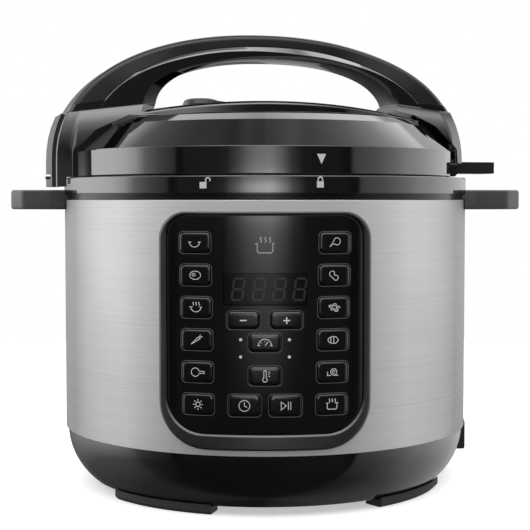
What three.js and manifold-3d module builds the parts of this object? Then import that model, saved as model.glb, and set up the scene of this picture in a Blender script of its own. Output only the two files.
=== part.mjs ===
// Electric pressure cooker, six-litre class. Millimetres, +Z up, front towards -Y.
// The housing's vertical axis is the Z axis and the feet stand on Z = 0.
import * as THREE from "three";
import Module from "manifold-3d";
import { mergeVertices } from "three/addons/utils/BufferGeometryUtils.js";

// ---------------------------------------------------------------- driving dimensions
const GAP = 0.3; // between pieces that touch
const BODY_R = 135; // steel wrap, outside
const BODY_BOTTOM = 39.5; // lower edge of the steel wrap
const BODY_TOP = 190; // upper edge of the steel wrap
const RING_R = 135.3; // plastic ring over the wrap
const RING_BOTTOM = 193.8;
const RING_TOP = 204.5;
const SHEET = 0.8; // steel wrap thickness
const WALL = 2.5; // moulded plastic wall

const POT_R = 109.5; // cooking pot, outside
const POT_BOTTOM = 42.4;
const POT_RIM = 195.8;
const SHELL_R = 113.2; // pressure housing around the pot, outside
const SHELL_FLOOR = 22;

const LID_R = 125; // lid skirt
const LID_BOTTOM = RING_TOP + 0.4;
const LID_SKIRT_TOP = 222;
const LID_SHOULDER_R = 105;
const LID_SHOULDER_Z = 239;
const LID_TOP = 246;
const LID_ANGLE = 15; // locked position of the lid, degrees about Z
const LUGS = 12; // bayonet lugs, and as many teeth in the collar

const ARCH_A = 139.7; // half length of the handle's outer outline
const ARCH_HEIGHT = 85; // its height over ARCH_BASE
const ARCH_MID = -3.5; // its middle, along the handle
const ARCH_BASE = 215;
const ARCH_HALF = 20; // half width across
const CAP_A = 122; // underside of the handle's cap
const CAP_HEIGHT = 77;
const SQUARENESS = 2.2; // exponent of the handle's outline
const HAND_MID = 5; // hand opening under the grip
const HAND_BASE = 250;
const HAND_A = 83;
const HAND_B = 33.5;

const PANEL_X = 62.8; // half width of the bezel
const PANEL_LOW = 43.3;
const PANEL_HIGH = 183.2;
const FACE_X = 58.3; // half width of the black panel inside it
const FACE_LOW = 52.6;
const FACE_HIGH = 181.3;
const FACE_R = 136.2;
const BEZEL_R = 137.5;
const BUTTON_R = 136.9;
const BUTTON_W = 18.8;
const WINDOW = { x: 24.6, low: 128.6, high: 147.5 };

const HANDLE_TIP = 173; // side handles, from the axis
const FINE = 48; // segments of the round pieces that show
const COARSE = 36; // segments of those inside

// ---------------------------------------------------------------- solids
const wasm = await Module();
wasm.setup();

function solid(geometry) {
  const g = geometry.clone();
  g.deleteAttribute("normal");
  g.deleteAttribute("uv");
  const merged = mergeVertices(g, 1e-4);
  return new wasm.Manifold(new wasm.Mesh({
    numProp: 3,
    vertProperties: new Float32Array(merged.attributes.position.array),
    triVerts: new Uint32Array(merged.index.array),
  }));
}

function geometryOf(body) {
  const mesh = body.getMesh();
  const g = new THREE.BufferGeometry();
  g.setAttribute("position", new THREE.BufferAttribute(new Float32Array(mesh.vertProperties), 3));
  g.setIndex(new THREE.BufferAttribute(new Uint32Array(mesh.triVerts), 1));
  g.computeVertexNormals();
  return g;
}

const union = (bodies) => bodies.reduce((a, b) => a.add(b));

// A closed profile of [radius, height] pairs, listed anticlockwise, turned about Z.
function lathe(profile, segments = FINE) {
  const points = profile.map(([r, z]) => new THREE.Vector2(r, z));
  if (profile[0][0] > 0) points.push(points[0].clone());
  return solid(new THREE.LatheGeometry(points, segments).rotateX(Math.PI / 2));
}

const tube = (inner, outer, low, high, segments = FINE) =>
  lathe([[inner, low], [outer, low], [outer, high], [inner, high]], segments);

const disc = (r, low, high, segments = FINE) => lathe([[0, low], [r, low], [r, high], [0, high]], segments);

function shapeOf(points) {
  return new THREE.Shape(points.map(([x, y]) => new THREE.Vector2(x, y)));
}

function roundedRect(x0, y0, x1, y1, low, high = low) {
  const s = new THREE.Shape();
  s.moveTo(x0 + low, y0);
  s.lineTo(x1 - low, y0);
  s.absarc(x1 - low, y0 + low, low, -Math.PI / 2, 0);
  s.lineTo(x1, y1 - high);
  s.absarc(x1 - high, y1 - high, high, 0, Math.PI / 2);
  s.lineTo(x0 + high, y1);
  s.absarc(x0 + high, y1 - high, high, Math.PI / 2, Math.PI);
  s.lineTo(x0, y0 + low);
  s.absarc(x0 + low, y0 + low, low, Math.PI, 1.5 * Math.PI);
  return s;
}

// A plan shape carried up from low to high.
function upright(shape, low, high, curveSegments = 4) {
  const g = new THREE.ExtrudeGeometry(shape, { depth: high - low, bevelEnabled: false, curveSegments });
  return solid(g.translate(0, 0, low));
}

// A front-view shape carried outwards from radius r0 to r1, at an azimuth from the front.
function radial(shape, r0, r1, azimuth = 0, curveSegments = 3) {
  const g = new THREE.ExtrudeGeometry(shape, { depth: r1 - r0, bevelEnabled: false, curveSegments });
  g.rotateX(Math.PI / 2).translate(0, -r0, 0).rotateZ(THREE.MathUtils.degToRad(azimuth));
  return solid(g);
}

// A side-view shape of the handle carried across it.
function across(shape, half) {
  const g = new THREE.ExtrudeGeometry(shape, { depth: 2 * half, bevelEnabled: false });
  return solid(g.rotateX(Math.PI / 2).translate(0, half, 0));
}

// A skin over equal loops of [x, y, z] points, closed by a fan at each end.
function loft(loops) {
  const n = loops[0].length;
  const index = [];
  for (let i = 0; i + 1 < loops.length; i++) {
    for (let j = 0; j < n; j++) {
      const [a, b] = [i * n + j, i * n + ((j + 1) % n)];
      index.push(a, b, b + n, a, b + n, a + n);
    }
  }
  const last = (loops.length - 1) * n;
  for (let j = 1; j + 1 < n; j++) index.push(0, j + 1, j, last, last + j, last + j + 1);
  const g = new THREE.BufferGeometry();
  g.setAttribute("position", new THREE.BufferAttribute(new Float32Array(loops.flat(2)), 3));
  g.setIndex(index);
  return solid(g);
}

const box = (x0, x1, y0, y1, z0, z1) =>
  solid(new THREE.BoxGeometry(x1 - x0, y1 - y0, z1 - z0)
    .translate((x0 + x1) / 2, (y0 + y1) / 2, (z0 + z1) / 2));

const rod = (x, y, r, low, high, segments = 16) => disc(r, low, high, segments).translate([x, y, 0]);

// A sector of the plan between two azimuths, for cutting round pieces into arcs.
function sector(from, to, low, high) {
  const points = [[0, 0]];
  const steps = Math.max(2, Math.ceil((to - from) / 10));
  for (let i = 0; i <= steps; i++) {
    const a = THREE.MathUtils.degToRad(from + ((to - from) * i) / steps);
    points.push([200 * Math.sin(a), -200 * Math.cos(a)]);
  }
  return upright(shapeOf(points), low, high);
}

// ---------------------------------------------------------------- materials
const paint = (color, roughness, metalness) => new THREE.MeshStandardMaterial({ color, roughness, metalness });
const MATERIALS = {
  gloss: paint(0x1b1b1d, 0.18, 0),
  satin: paint(0x26262a, 0.45, 0),
  steel: paint(0xc4c5c7, 0.32, 1),
  polished: paint(0xd2d3d5, 0.18, 1),
  silver: paint(0x8d8f93, 0.3, 0.7),
  button: paint(0x141416, 0.2, 0),
  window: paint(0x0b0b0d, 0.08, 0),
  segments: paint(0x3a3c40, 0.4, 0),
  rubber: paint(0x202022, 0.9, 0),
  silicone: paint(0xd9dad8, 0.6, 0),
  clear: paint(0xc9d2d6, 0.1, 0),
  cast: paint(0x9b9ea2, 0.5, 0.9),
  board: paint(0x1f5a3a, 0.6, 0),
  brass: paint(0xb8995a, 0.35, 1),
  galvanised: paint(0xa4a8ab, 0.45, 0.9),
};

const group = new THREE.Group();
group.name = "pressure_cooker";

function add(name, body, material) {
  const mesh = new THREE.Mesh(geometryOf(body), MATERIALS[material]);
  mesh.name = name;
  group.add(mesh);
}

// ---------------------------------------------------------------- base
// The bowl is a quarter ellipse in section, from the wrap down to the flat underside.
const BOWL = { a: 48, b: 45, top: 39.2, floor: 4.9 };
const bowlRadius = (z) => BODY_R - 1.5 - BOWL.a * (1 - Math.sqrt(1 - ((BODY_BOTTOM - z) / BOWL.b) ** 2));

function bowlCurve(inset, steps) {
  const points = [];
  for (let i = 0; i <= steps; i++) {
    const z = BOWL.floor + inset + ((BOWL.top - BOWL.floor - inset) * i) / steps;
    points.push([bowlRadius(z - inset * 0.45) - inset, z]);
  }
  return points;
}

const INLET = { azimuth: 100, half: 16, low: 17, high: 38, inner: 117, outer: 138 };
const inletShape = (grow) =>
  roundedRect(-INLET.half - grow, INLET.low - grow, INLET.half + grow, INLET.high + grow, 3 + grow);

function baseBowl() {
  const outside = bowlCurve(0, 6);
  const inside = bowlCurve(WALL, 2).reverse();
  const lip = [[BODY_R - 1.5, 45.4], [BODY_R - 3.8, 45.4]];
  const shell = lathe([[106, BOWL.floor], ...outside, ...lip, ...inside, [106, BOWL.floor + WALL]]);
  return shell.subtract(radial(inletShape(GAP), INLET.inner, 160, INLET.azimuth));
}

function basePlate() {
  const slots = [];
  for (let i = 0; i < 12; i++) {
    slots.push(radial(roundedRect(-4, 0, 4, 20, 1), 62, 92, i * 30 + 15, 1));
  }
  return disc(105.6, 4.9, 6.7).subtract(union(slots));
}

// Rubber feet are arcs that follow the bowl's underside.
const FEET = { inner: 104.4, outer: 119.4, half: 18.4, turn: -34.5 };

function foot(azimuth) {
  const top = BOWL.floor - GAP - 0.2;
  const profile = [
    [FEET.inner, 0.8], [FEET.inner + 0.8, 0], [FEET.outer - 2.4, 0], [FEET.outer, 2.2],
    [FEET.outer, 7], [FEET.outer - 3, top], [FEET.inner, top],
  ];
  return lathe(profile).intersect(sector(azimuth - FEET.half, azimuth + FEET.half, -1, 12));
}

const panelShape = (inset) =>
  roundedRect(-PANEL_X + inset, PANEL_LOW + inset, PANEL_X - inset, PANEL_HIGH - inset, 28 - inset, 16 - inset);
const faceShape = (inset) =>
  roundedRect(-FACE_X + inset, FACE_LOW + inset, FACE_X - inset, FACE_HIGH - inset, 22 - inset, 13 - inset);

const DOCK = { half: 34, low: 112, high: 186, inner: 114.6, outer: 135.9 };

function steelWrap() {
  return tube(BODY_R - SHEET, BODY_R, BODY_BOTTOM, BODY_TOP)
    .subtract(radial(panelShape(2), 100, 160, 0, 8))
    .subtract(box(-DOCK.half - GAP, DOCK.half + GAP, 100, 160, DOCK.low - GAP, DOCK.high + GAP));
}

function upperRing() {
  return lathe([
    [RING_R - 2.3, RING_BOTTOM], [RING_R - 2.3, 187], [RING_R - 4.6, 187],
    [RING_R - 4.6, 200.6], [RING_R - 3.4, RING_TOP - WALL], [124.6, RING_TOP - WALL], [124.6, 192.5],
    [122.1, 192.5], [122.1, RING_TOP - 1.2], [123.2, RING_TOP], [RING_R - 1, RING_TOP],
    [RING_R, RING_TOP - 1.1], [RING_R, RING_BOTTOM],
  ].reverse());
}

// A side handle in plan: wide at the root, narrower at a rounded tip, with a slot for the lid's fin.
function sideHandle(side, slotInner) {
  const plan = new THREE.Shape();
  const root = RING_R + 0.25;
  plan.moveTo(120, -36);
  plan.lineTo(root + 4, -36);
  plan.lineTo(HANDLE_TIP - 12, -29);
  plan.quadraticCurveTo(HANDLE_TIP - 3, -26, HANDLE_TIP - 1.5, -13);
  plan.quadraticCurveTo(HANDLE_TIP, 0, HANDLE_TIP - 1.5, 13);
  plan.quadraticCurveTo(HANDLE_TIP - 3, 26, HANDLE_TIP - 12, 29);
  plan.lineTo(root + 4, 36);
  plan.lineTo(120, 36);
  const slab = upright(plan, 183.8, 196.6);
  const chamfered = slab
    .subtract(edgeCut(plan, 196.6, 1))
    .subtract(edgeCut(plan, 183.8, -1));
  const slot = upright(roundedRect(slotInner, -13, slotInner + 9, 13, 1.5), 180, 200);
  const socket = disc(root, 180, 190.3).add(disc(RING_R - 2, 190.2, RING_BOTTOM - GAP))
    .add(disc(root, RING_BOTTOM - GAP - 0.1, 200));
  const handle = chamfered.subtract(slot).subtract(socket);
  return side > 0 ? handle : handle.rotate([0, 0, 180]);
}

// What a 1.6 mm chamfer takes off the top or bottom edge of a slab with this plan.
function edgeCut(plan, z, way) {
  const size = 1.6;
  const block = new THREE.ExtrudeGeometry(plan, {
    depth: 20, bevelEnabled: true, bevelSize: size, bevelOffset: -size, bevelThickness: size,
    bevelSegments: 1, curveSegments: 4,
  });
  const keep = solid(block.translate(0, 0, way > 0 ? z - 20 - size : z + size));
  const band = way > 0 ? [z - size, z + 1] : [z - 1, z + size];
  return box(100, 200, -60, 60, band[0], band[1]).subtract(keep);
}

// ---------------------------------------------------------------- inside the housing
function outerPot() {
  return lathe([
    [6, SHELL_FLOOR], [104, SHELL_FLOOR], [SHELL_R, 31], [SHELL_R, 188], [121.2, 188], [121.2, 189.2],
    [SHELL_R - 1.2, 189.2], [SHELL_R - 1.2, 31.6], [103.4, SHELL_FLOOR + 1.2], [6, SHELL_FLOOR + 1.2],
  ], COARSE);
}

const toothPattern = (inner, outer, low, high, half, offset) => {
  const ring = tube(inner, outer, low, high, COARSE);
  const cuts = [];
  for (let i = 0; i < LUGS; i++) {
    const middle = offset + (360 / LUGS) * i;
    cuts.push(sector(middle - half, middle + half, low - 1, high + 1));
  }
  return ring.intersect(union(cuts));
};

function bayonetCollar() {
  const wall = tube(119.6, 121.4, 189.5, 203.6, COARSE);
  return wall.add(toothPattern(117, 119.8, 200.4, 203.6, 7.5, 0));
}

function innerPot() {
  const r = POT_R;
  const z = POT_BOTTOM;
  return lathe([
    [0, z], [r - 8, z], [r - 2.4, z + 2.4], [r, z + 8], [r, POT_RIM - 1.2], [r + 4.1, POT_RIM - 1.2],
    [r + 4.1, POT_RIM], [r - 1, POT_RIM], [r - 1, z + 8.4], [r - 3.2, z + 3.6], [r - 8.4, z + 1.6], [0, z + 1.6],
  ], COARSE);
}

function heaterPlate() {
  const plate = lathe([[17, 33], [82, 33], [88, 38], [88, 41], [86, 42], [17, 42]], COARSE);
  const legs = [0, 120, 240].map((a) => {
    const t = THREE.MathUtils.degToRad(a);
    return rod(77 * Math.cos(t), 77 * Math.sin(t), 4, SHELL_FLOOR + 1.5, 34, 10);
  });
  return plate.add(union(legs));
}

function heaterElement() {
  const profile = [];
  for (let i = 0; i < 8; i++) {
    const a = (2 * Math.PI * i) / 8;
    profile.push([58 + 4 * Math.cos(a), 28.6 + 4 * Math.sin(a)]);
  }
  return lathe(profile, 30);
}

const SENSOR = { r: 14.5, top: 42.1, skirt: 35.6, spring: 23.5 };

function thermostatSensor() {
  const t = SENSOR;
  return lathe([
    [0, 27], [4, 27], [4, t.skirt], [t.r, t.skirt], [t.r, t.top - 1], [t.r - 1, t.top], [0, t.top],
  ], 24);
}

class Helix extends THREE.Curve {
  constructor(r, low, high, turns) {
    super();
    Object.assign(this, { r, low, high, turns });
  }
  getPoint(t) {
    const a = 2 * Math.PI * this.turns * t;
    return new THREE.Vector3(this.r * Math.cos(a), this.r * Math.sin(a), this.low + (this.high - this.low) * t);
  }
}

function thermostatSpring() {
  const wire = 0.7;
  const path = new Helix(8, SENSOR.spring + wire, SENSOR.skirt - wire - GAP, 4);
  const section = new THREE.Shape().absarc(0, 0, wire, 0, 2 * Math.PI);
  return solid(new THREE.ExtrudeGeometry(section, { steps: 40, extrudePath: path, curveSegments: 3 }));
}

// Each board carries a few blocks for its larger components.
function controlBoard() {
  const board = box(-46, 46, -120.9, -119.4, 58, 176);
  const chips = [[-20, -6, 60, 72], [4, 22, 160, 172], [26, 38, 62, 80]]
    .map(([x0, x1, z0, z1]) => box(x0, x1, -122, -120.8, z0, z1));
  return board.add(union(chips));
}

function powerBoard() {
  const board = box(-44, 44, 30, 92, 9.5, 11);
  const blocks = [[-38, -14, 38, 62, 20], [-4, 10, 40, 56, 19], [18, 40, 36, 58, 17], [-30, 20, 72, 80, 18]]
    .map(([x0, x1, y0, y1, top]) => box(x0, x1, y0, y1, 10.8, top));
  return board.add(union(blocks));
}

function powerInlet() {
  const shroud = radial(inletShape(0), INLET.inner, INLET.outer, INLET.azimuth);
  const well = roundedRect(-INLET.half + 3, INLET.low + 2.6, INLET.half - 3, INLET.high - 2.6, 2);
  return shroud.subtract(radial(well, INLET.outer - 13, 160, INLET.azimuth));
}

function inletPins() {
  const middle = (INLET.low + INLET.high) / 2;
  const floor = INLET.outer - 13 + GAP;
  const plate = radial(roundedRect(-11, middle - 6.5, 11, middle + 6.5, 1), floor, floor + 1, INLET.azimuth);
  const pins = [[-7, -2], [0, 2], [7, -2]].map(([x, z]) =>
    radial(roundedRect(x - 1, middle + z - 2, x + 1, middle + z + 2, 0.5), floor, floor + 9, INLET.azimuth, 1));
  return plate.add(union(pins));
}

function collectorDock() {
  const d = DOCK;
  const block = box(-d.half, d.half, d.inner, d.outer + 10, d.low, d.high).intersect(disc(d.outer, 100, 200));
  return block.subtract(box(-d.half + 2.4, d.half - 2.4, d.inner + 1.4, 170, d.low + 2.4, d.high - 2.4));
}

const CUP = { half: 30.8, low: 115, high: 181, inner: 116.6, outer: 142 };

function collectorCup() {
  const c = CUP;
  const outline = (inset) => {
    const s = new THREE.Shape();
    s.moveTo(-c.half + inset, c.inner + inset);
    s.lineTo(c.half - inset, c.inner + inset);
    s.lineTo(c.half - inset, c.outer - 7);
    s.quadraticCurveTo(c.half - 5, c.outer - inset, c.half - 14, c.outer - inset);
    s.lineTo(-c.half + 14, c.outer - inset);
    s.quadraticCurveTo(-c.half + 5, c.outer - inset, -c.half + inset, c.outer - 7);
    return s;
  };
  return upright(outline(0), c.low, c.high).subtract(upright(outline(1.8), c.low + 1.8, c.high + 1));
}

// ---------------------------------------------------------------- control panel
const SIDE_ROWS = [165, 146, 127, 108, 89, 70];
const sideAzimuth = (z) => 16.9 + (0.8 * (z - 70)) / 95;
const atX = (x) => THREE.MathUtils.radToDeg(Math.asin(x / FACE_R));

const BUTTONS = [
  ...SIDE_ROWS.map((z, i) => ({ name: `button_left_${i + 1}`, azimuth: -sideAzimuth(z), z, h: 11.9 })),
  ...SIDE_ROWS.map((z, i) => ({ name: `button_right_${i + 1}`, azimuth: sideAzimuth(z), z, h: 11.9 })),
  { name: "button_minus", azimuth: atX(-12.8), z: 119.9, h: 10 },
  { name: "button_plus", azimuth: atX(12.8), z: 119.9, h: 10 },
  { name: "button_pressure", azimuth: 0, z: 106.7, h: 10.4 },
  { name: "button_temp", azimuth: 0, z: 87.3, h: 10.8 },
  { name: "button_delay", azimuth: atX(-12.2), z: 69.9, h: 12.4 },
  { name: "button_start", azimuth: atX(12.2), z: 69.9, h: 12.4 },
];

function buttonPrism({ azimuth, z, h }, grow, r0, r1) {
  const w = BUTTON_W / 2 + grow;
  return radial(roundedRect(-w, z - h / 2 - grow, w, z + h / 2 + grow, 2.6 + grow), r0, r1, azimuth, 1);
}

// A cap with a square flange behind the panel to keep it in.
function button(spec) {
  const { azimuth, z, h } = spec;
  const [w, half] = [BUTTON_W / 2 + 0.9, h / 2 + 0.9];
  const flange = shapeOf([[-w, z - half], [w, z - half], [w, z + half], [-w, z + half]]);
  return buttonPrism(spec, 0, 131.6, BUTTON_R).add(radial(flange, 131, 132.3, azimuth));
}

function panelFace() {
  const skin = tube(133.2, FACE_R, 40, 190).intersect(radial(faceShape(GAP), 110, 160, 0, 6));
  const w = WINDOW;
  const opening = radial(roundedRect(-w.x, w.low, w.x, w.high, 1), 110, 160, 0, 1);
  return skin.subtract(opening).subtract(union(BUTTONS.map((b) => buttonPrism(b, 0.35, 110, 160))));
}

function panelBezel() {
  const well = radial(faceShape(0), 100, 160, 0, 6);
  const flange = tube(BODY_R + 0.35, BEZEL_R, 30, 195).intersect(radial(panelShape(0), 100, 160, 0, 8));
  const neck = tube(131.6, BODY_R + 0.5, 30, 195).intersect(radial(panelShape(2.5), 100, 160, 0, 8));
  const slope = lathe([[FACE_R + 0.3, 30], [BEZEL_R + 1, 30], [BEZEL_R + 1, 195], [FACE_R + 0.3, 195]])
    .intersect(radial(faceShape(-0.9), 100, 160, 0, 6));
  return flange.add(neck).subtract(well).subtract(slope);
}

function displayWindow() {
  const w = WINDOW;
  return tube(134.4, FACE_R - 0.1, 120, 155)
    .intersect(radial(roundedRect(-w.x + GAP, w.low + GAP, w.x - GAP, w.high - GAP, 1), 110, 160, 0, 1));
}

function ledDisplay() {
  const w = WINDOW;
  return box(-w.x + 1, w.x - 1, -130.6, -126.5, w.low + 1.5, w.high - 1.5);
}

// ---------------------------------------------------------------- lid
// Lid pieces are built with the handle along X and turned to LID_ANGLE at the end.
const lidFrame = (body) => body.rotate([0, 0, LID_ANGLE]);

// A point of a superellipse over ARCH_BASE, t running from 0 at its right end to 1 at its left.
function archPoint(a, height, t) {
  const p = 2 / SQUARENESS;
  const c = Math.cos(Math.PI * t);
  const s = Math.sin(Math.PI * t);
  return [ARCH_MID + a * Math.sign(c) * Math.abs(c) ** p, ARCH_BASE + height * s ** p];
}

function archLine(a, height, steps = 26) {
  const points = [];
  for (let i = 0; i <= steps; i++) points.push(archPoint(a, height, i / steps));
  return points;
}

function handOpening(grow, floor) {
  const points = [[HAND_MID - HAND_A - grow, floor]];
  for (let i = 18; i >= 0; i--) {
    const a = (Math.PI * i) / 18;
    const x = Math.sign(Math.cos(a)) * Math.abs(Math.cos(a)) ** 0.9;
    points.push([HAND_MID + (HAND_A + grow) * x, HAND_BASE + (HAND_B + grow) * Math.sin(a) ** 0.9]);
  }
  return [...points, [HAND_MID + HAND_A + grow, floor]];
}

// The line where the handle meets the lid's two shoulders, from left to right.
const seamLine = (lift) => [[-160, 243.5 + lift], [-136, 246 + lift], [-83, 252.5 + lift],
  [89, 255 + lift], [122, 251 + lift], [160, 246.5 + lift]];
const belowSeam = (lift) => shapeOf([[-160, 150], [160, 150], ...seamLine(lift).reverse()]);

// The long low rib under the hand opening: a lens in plan with an arched top.
function spine() {
  const plan = [];
  for (let i = -10; i <= 10; i++) plan.push([10.4 * i, -36 + 19 * (i / 10) ** 2]);
  const mirrored = plan.map(([x, y]) => [x, -y]).reverse();
  const side = [[-104, 225]];
  for (let i = -10; i <= 10; i++) side.push([10.4 * i, 255 - (10.4 * i) ** 2 / 1100]);
  side.push([104, 225]);
  return upright(shapeOf([...plan, ...mirrored]), 225, 260).intersect(across(shapeOf(side.reverse()), 50));
}

const lidOutside = () => lathe([
  [0, LID_BOTTOM], [LID_R, LID_BOTTOM], [LID_R, LID_SKIRT_TOP], [LID_SHOULDER_R, LID_SHOULDER_Z],
  [102.6, 241.6], [99.4, 243.2], [95, 244], [60, 245.2], [0, LID_TOP],
]);

const lidInside = () => lathe([
  [0, LID_BOTTOM - 1], [LID_R - WALL, LID_BOTTOM - 1], [LID_R - WALL, LID_SKIRT_TOP - 1.2],
  [LID_SHOULDER_R - 2.2, LID_SHOULDER_Z - 2.2], [97.5, 240.6], [0, LID_TOP - WALL],
]);

// Shoulders carry the handle. They are full width at the seam and at the end curtain,
// and narrower where they run down to the lid.
function shoulder(side) {
  const end = side < 0 ? 198.5 : 215.3;
  const outline = archLine(ARCH_A, ARCH_HEIGHT, 40).filter(([x, z]) => x * side > 100 && z > end && z < 262);
  const outer = side < 0 ? outline : outline.reverse();
  const foot = ARCH_MID + side * ARCH_A;
  const under = side < 0
    ? [[-133, end], [-132.4, 221], [-118, 235], [-96, 245], [-80, 248]]
    : [[131, end], [129, 225], [113, 241], [98, 248], [85, 250]];
  const low = side < 0 ? [[-126, end], [-60, 236]] : [[120, end], [70, 236]];
  const wide = shapeOf([[foot, end], ...under, [70 * side, 262], ...outer]);
  const narrow = shapeOf([[foot, end], ...low, [60 * side, 262], ...outer]);
  const both = across(wide, ARCH_HALF).add(across(narrow, ARCH_HALF - 6));
  return both.intersect(across(belowSeam(-GAP / 2), 60))
    .subtract(across(shapeOf(handOpening(0, 200)), 60))
    .subtract(disc(RING_R + 1.3, 150, RING_TOP + 0.4));
}

const VENT = [-31.5, 60]; // steam release, along and across the handle
const FLOAT = [24, 62]; // float valve
const PIN = { v: -8, z: 205, r: 1.65 };
const crossHole = (r) =>
  solid(new THREE.CylinderGeometry(r, r, 60, 12).rotateZ(Math.PI / 2).translate(-145, PIN.v, PIN.z));

function lidCover() {
  return union([lidOutside(), spine(), shoulder(-1), shoulder(1)])
    .subtract(lidInside())
    .subtract(rod(...VENT, 7, 200, 260))
    .subtract(rod(...FLOAT, 4.4, 200, 260))
    .subtract(crossHole(PIN.r + GAP));
}

// A stretch of the handle between two lines of its side view, from t = from to t = to.
// section(t, depth) gives half of the cross-section as [half width, height] pairs, going up.
function handleBand(from, to, steps, innerAt, outerAt, section) {
  const loops = [];
  for (let i = 0; i <= steps; i++) {
    const t = from + ((to - from) * i) / steps;
    const [a, b] = [innerAt(t), outerAt(t)];
    const depth = Math.hypot(b[0] - a[0], b[1] - a[1]);
    const half = section(t, depth);
    const ring = [...half.map(([y, h]) => [-y, h]), ...half.reverse()];
    loops.push(ring.map(([y, h]) =>
      [a[0] + ((b[0] - a[0]) * h) / depth, y, a[1] + ((b[1] - a[1]) * h) / depth]));
  }
  return loft(loops);
}

const capUnder = (grow) => (t) => archPoint(CAP_A + grow, CAP_HEIGHT + grow, t);
const archOver = (t) => archPoint(ARCH_A, ARCH_HEIGHT, t);
const CAP_ENDS = [0.165, 0.853]; // where the cap stops, along the handle from right to left
const plainSection = (t, depth) => [[ARCH_HALF, -10], [ARCH_HALF, depth]];

// The cap is narrow over the grip and spreads to full width over the legs.
function handleCap() {
  return handleBand(...CAP_ENDS, 34, capUnder(0), archOver, (t, depth) => {
    const spread = THREE.MathUtils.smoothstep(Math.abs(t - 0.5), 0.12, 0.3);
    const w = 14.4 + (ARCH_HALF - 14.4) * spread;
    return [[w, 0], [w, depth - 3.4], [w - 0.9, depth - 1.2], [w - 3.2, depth]];
  });
}

// The grip's edges are chamfered to a line along its middle; the legs keep flat cheeks.
function handleArch() {
  const handAt = (t) => {
    const a = Math.PI * THREE.MathUtils.clamp((t - 0.09) / 0.82, 0, 1);
    const x = Math.sign(Math.cos(a)) * Math.abs(Math.cos(a)) ** 0.9;
    const drop = Math.max(0, Math.abs(t - 0.5) - 0.41) * 600;
    return [HAND_MID + HAND_A * x, HAND_BASE + HAND_B * Math.max(0, Math.sin(a)) ** 0.9 - drop];
  };
  const core = handleBand(0.06, 0.94, 40, handAt, capUnder(-GAP), (t, depth) => {
    const edge = Math.min(4, depth / 2 - 0.2);
    return [[ARCH_HALF - 6, 0], [ARCH_HALF, edge], [ARCH_HALF, depth - edge], [ARCH_HALF - 6, depth]];
  });
  const right = handleBand(0.06, CAP_ENDS[0] - 0.0015, 4, capUnder(0), archOver, plainSection);
  const left = handleBand(CAP_ENDS[1] + 0.0015, 0.94, 4, capUnder(0), archOver, plainSection);
  return union([core, right, left]).subtract(across(belowSeam(GAP / 2), 60));
}

function handleEndCover() {
  const line = (grow) => archLine(ARCH_A + grow, ARCH_HEIGHT + grow, 40)
    .filter(([x, z]) => x < 0 && z < 246 && z > ARCH_BASE + 1);
  const foot = ARCH_MID - ARCH_A;
  const shape = [...line(GAP), [foot - GAP, ARCH_BASE], [foot - GAP, 198.5],
    [foot - GAP - 2.6, 198.5], [foot - GAP - 2.6, ARCH_BASE], ...line(GAP + 2.6).reverse()];
  return across(shapeOf(shape), ARCH_HALF - 1).subtract(crossHole(PIN.r + GAP));
}

function lidStandFin() {
  const tongue = [[125.5, 210.4], [128, 206.4], [135, 206.4], [137, 208.5], [164.5, 208.5], [164.5, 216.6],
    [137, 216.6], [136.8, 214.9], [128, 214.9]];
  return across(shapeOf(tongue), 11);
}

function handlePin() {
  return solid(new THREE.CylinderGeometry(PIN.r, PIN.r, 12.4, 12).rotateZ(Math.PI / 2)
    .translate(-143.2, PIN.v, PIN.z));
}

function lidPressurePlate() {
  const dome = lathe([
    [0, 218.8], [60, 215.8], [100, 207.2], [114.9, 206.3], [114.9, 194.5], [116.1, 194.5], [116.1, 206.5],
    [121.9, 206.5], [121.9, 207.7], [100, 208.5], [60, 217], [0, 220],
  ], COARSE);
  return dome.add(toothPattern(115.5, 119, 194.5, 197.5, 5.5, 0))
    .subtract(rod(...VENT, 5, 200, 230))
    .subtract(rod(...FLOAT, 3.4, 200, 230));
}

function sealingRing() {
  return lathe([
    [108, 196.2], [114.4, 196.2], [114.4, 205.9], [108, 205.9], [108, 203.4], [111.6, 202.6],
    [111.6, 199.6], [108, 198.8],
  ], COARSE);
}

const sealRack = () => tube(104, 107.4, 201.2, 206, COARSE);

function ventPipe() {
  return lathe([
    [1.8, 209.8], [8, 209.8], [8, 211.8], [4.6, 211.8], [4.6, 252], [1.8, 252],
  ], 16).translate([...VENT, 0]);
}

// A slotted cage that keeps food out of the vent.
function antiBlockShield() {
  const cage = lathe([[0, 200], [12, 200], [13, 201], [13, 209.4], [11.9, 209.4], [11.9, 201.1], [0, 201.1]], 18);
  const slots = [];
  for (let i = 0; i < 6; i++) slots.push(radial(roundedRect(-1.8, 202.4, 1.8, 207.6, 1), 9, 16, 60 * i, 1));
  return cage.subtract(union(slots)).translate([...VENT, 0]);
}

function steamValveKnob() {
  const body = lathe([
    [0, 252.6], [5.1, 252.6], [5.1, 246.6], [9, 246.6], [12.4, 248.4], [13.4, 252], [13.2, 259.4],
    [11.6, 262.6], [8, 263.6], [0, 263.6],
  ], 20);
  const tail = new THREE.Shape();
  tail.moveTo(0, -9);
  tail.lineTo(12, -8.6);
  tail.quadraticCurveTo(21, -6.4, 23.5, 0);
  tail.quadraticCurveTo(21, 6.4, 12, 8.6);
  tail.lineTo(0, 9);
  const side = shapeOf([[6, 257], [24, 258.8], [24, 260.4], [12, 262.2], [6, 262.4]]);
  const lever = upright(tail, 250, 265).intersect(across(side, 20));
  return body.add(lever).rotate([0, 0, -LID_ANGLE]).translate([...VENT, 0]);
}

function floatValvePin() {
  return lathe([
    [0, 205], [5, 205], [5, 207], [2.8, 207], [2.8, 243.6], [3.8, 243.6], [3.8, 245], [0, 245],
  ], 16).translate([...FLOAT, 0]);
}

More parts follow.
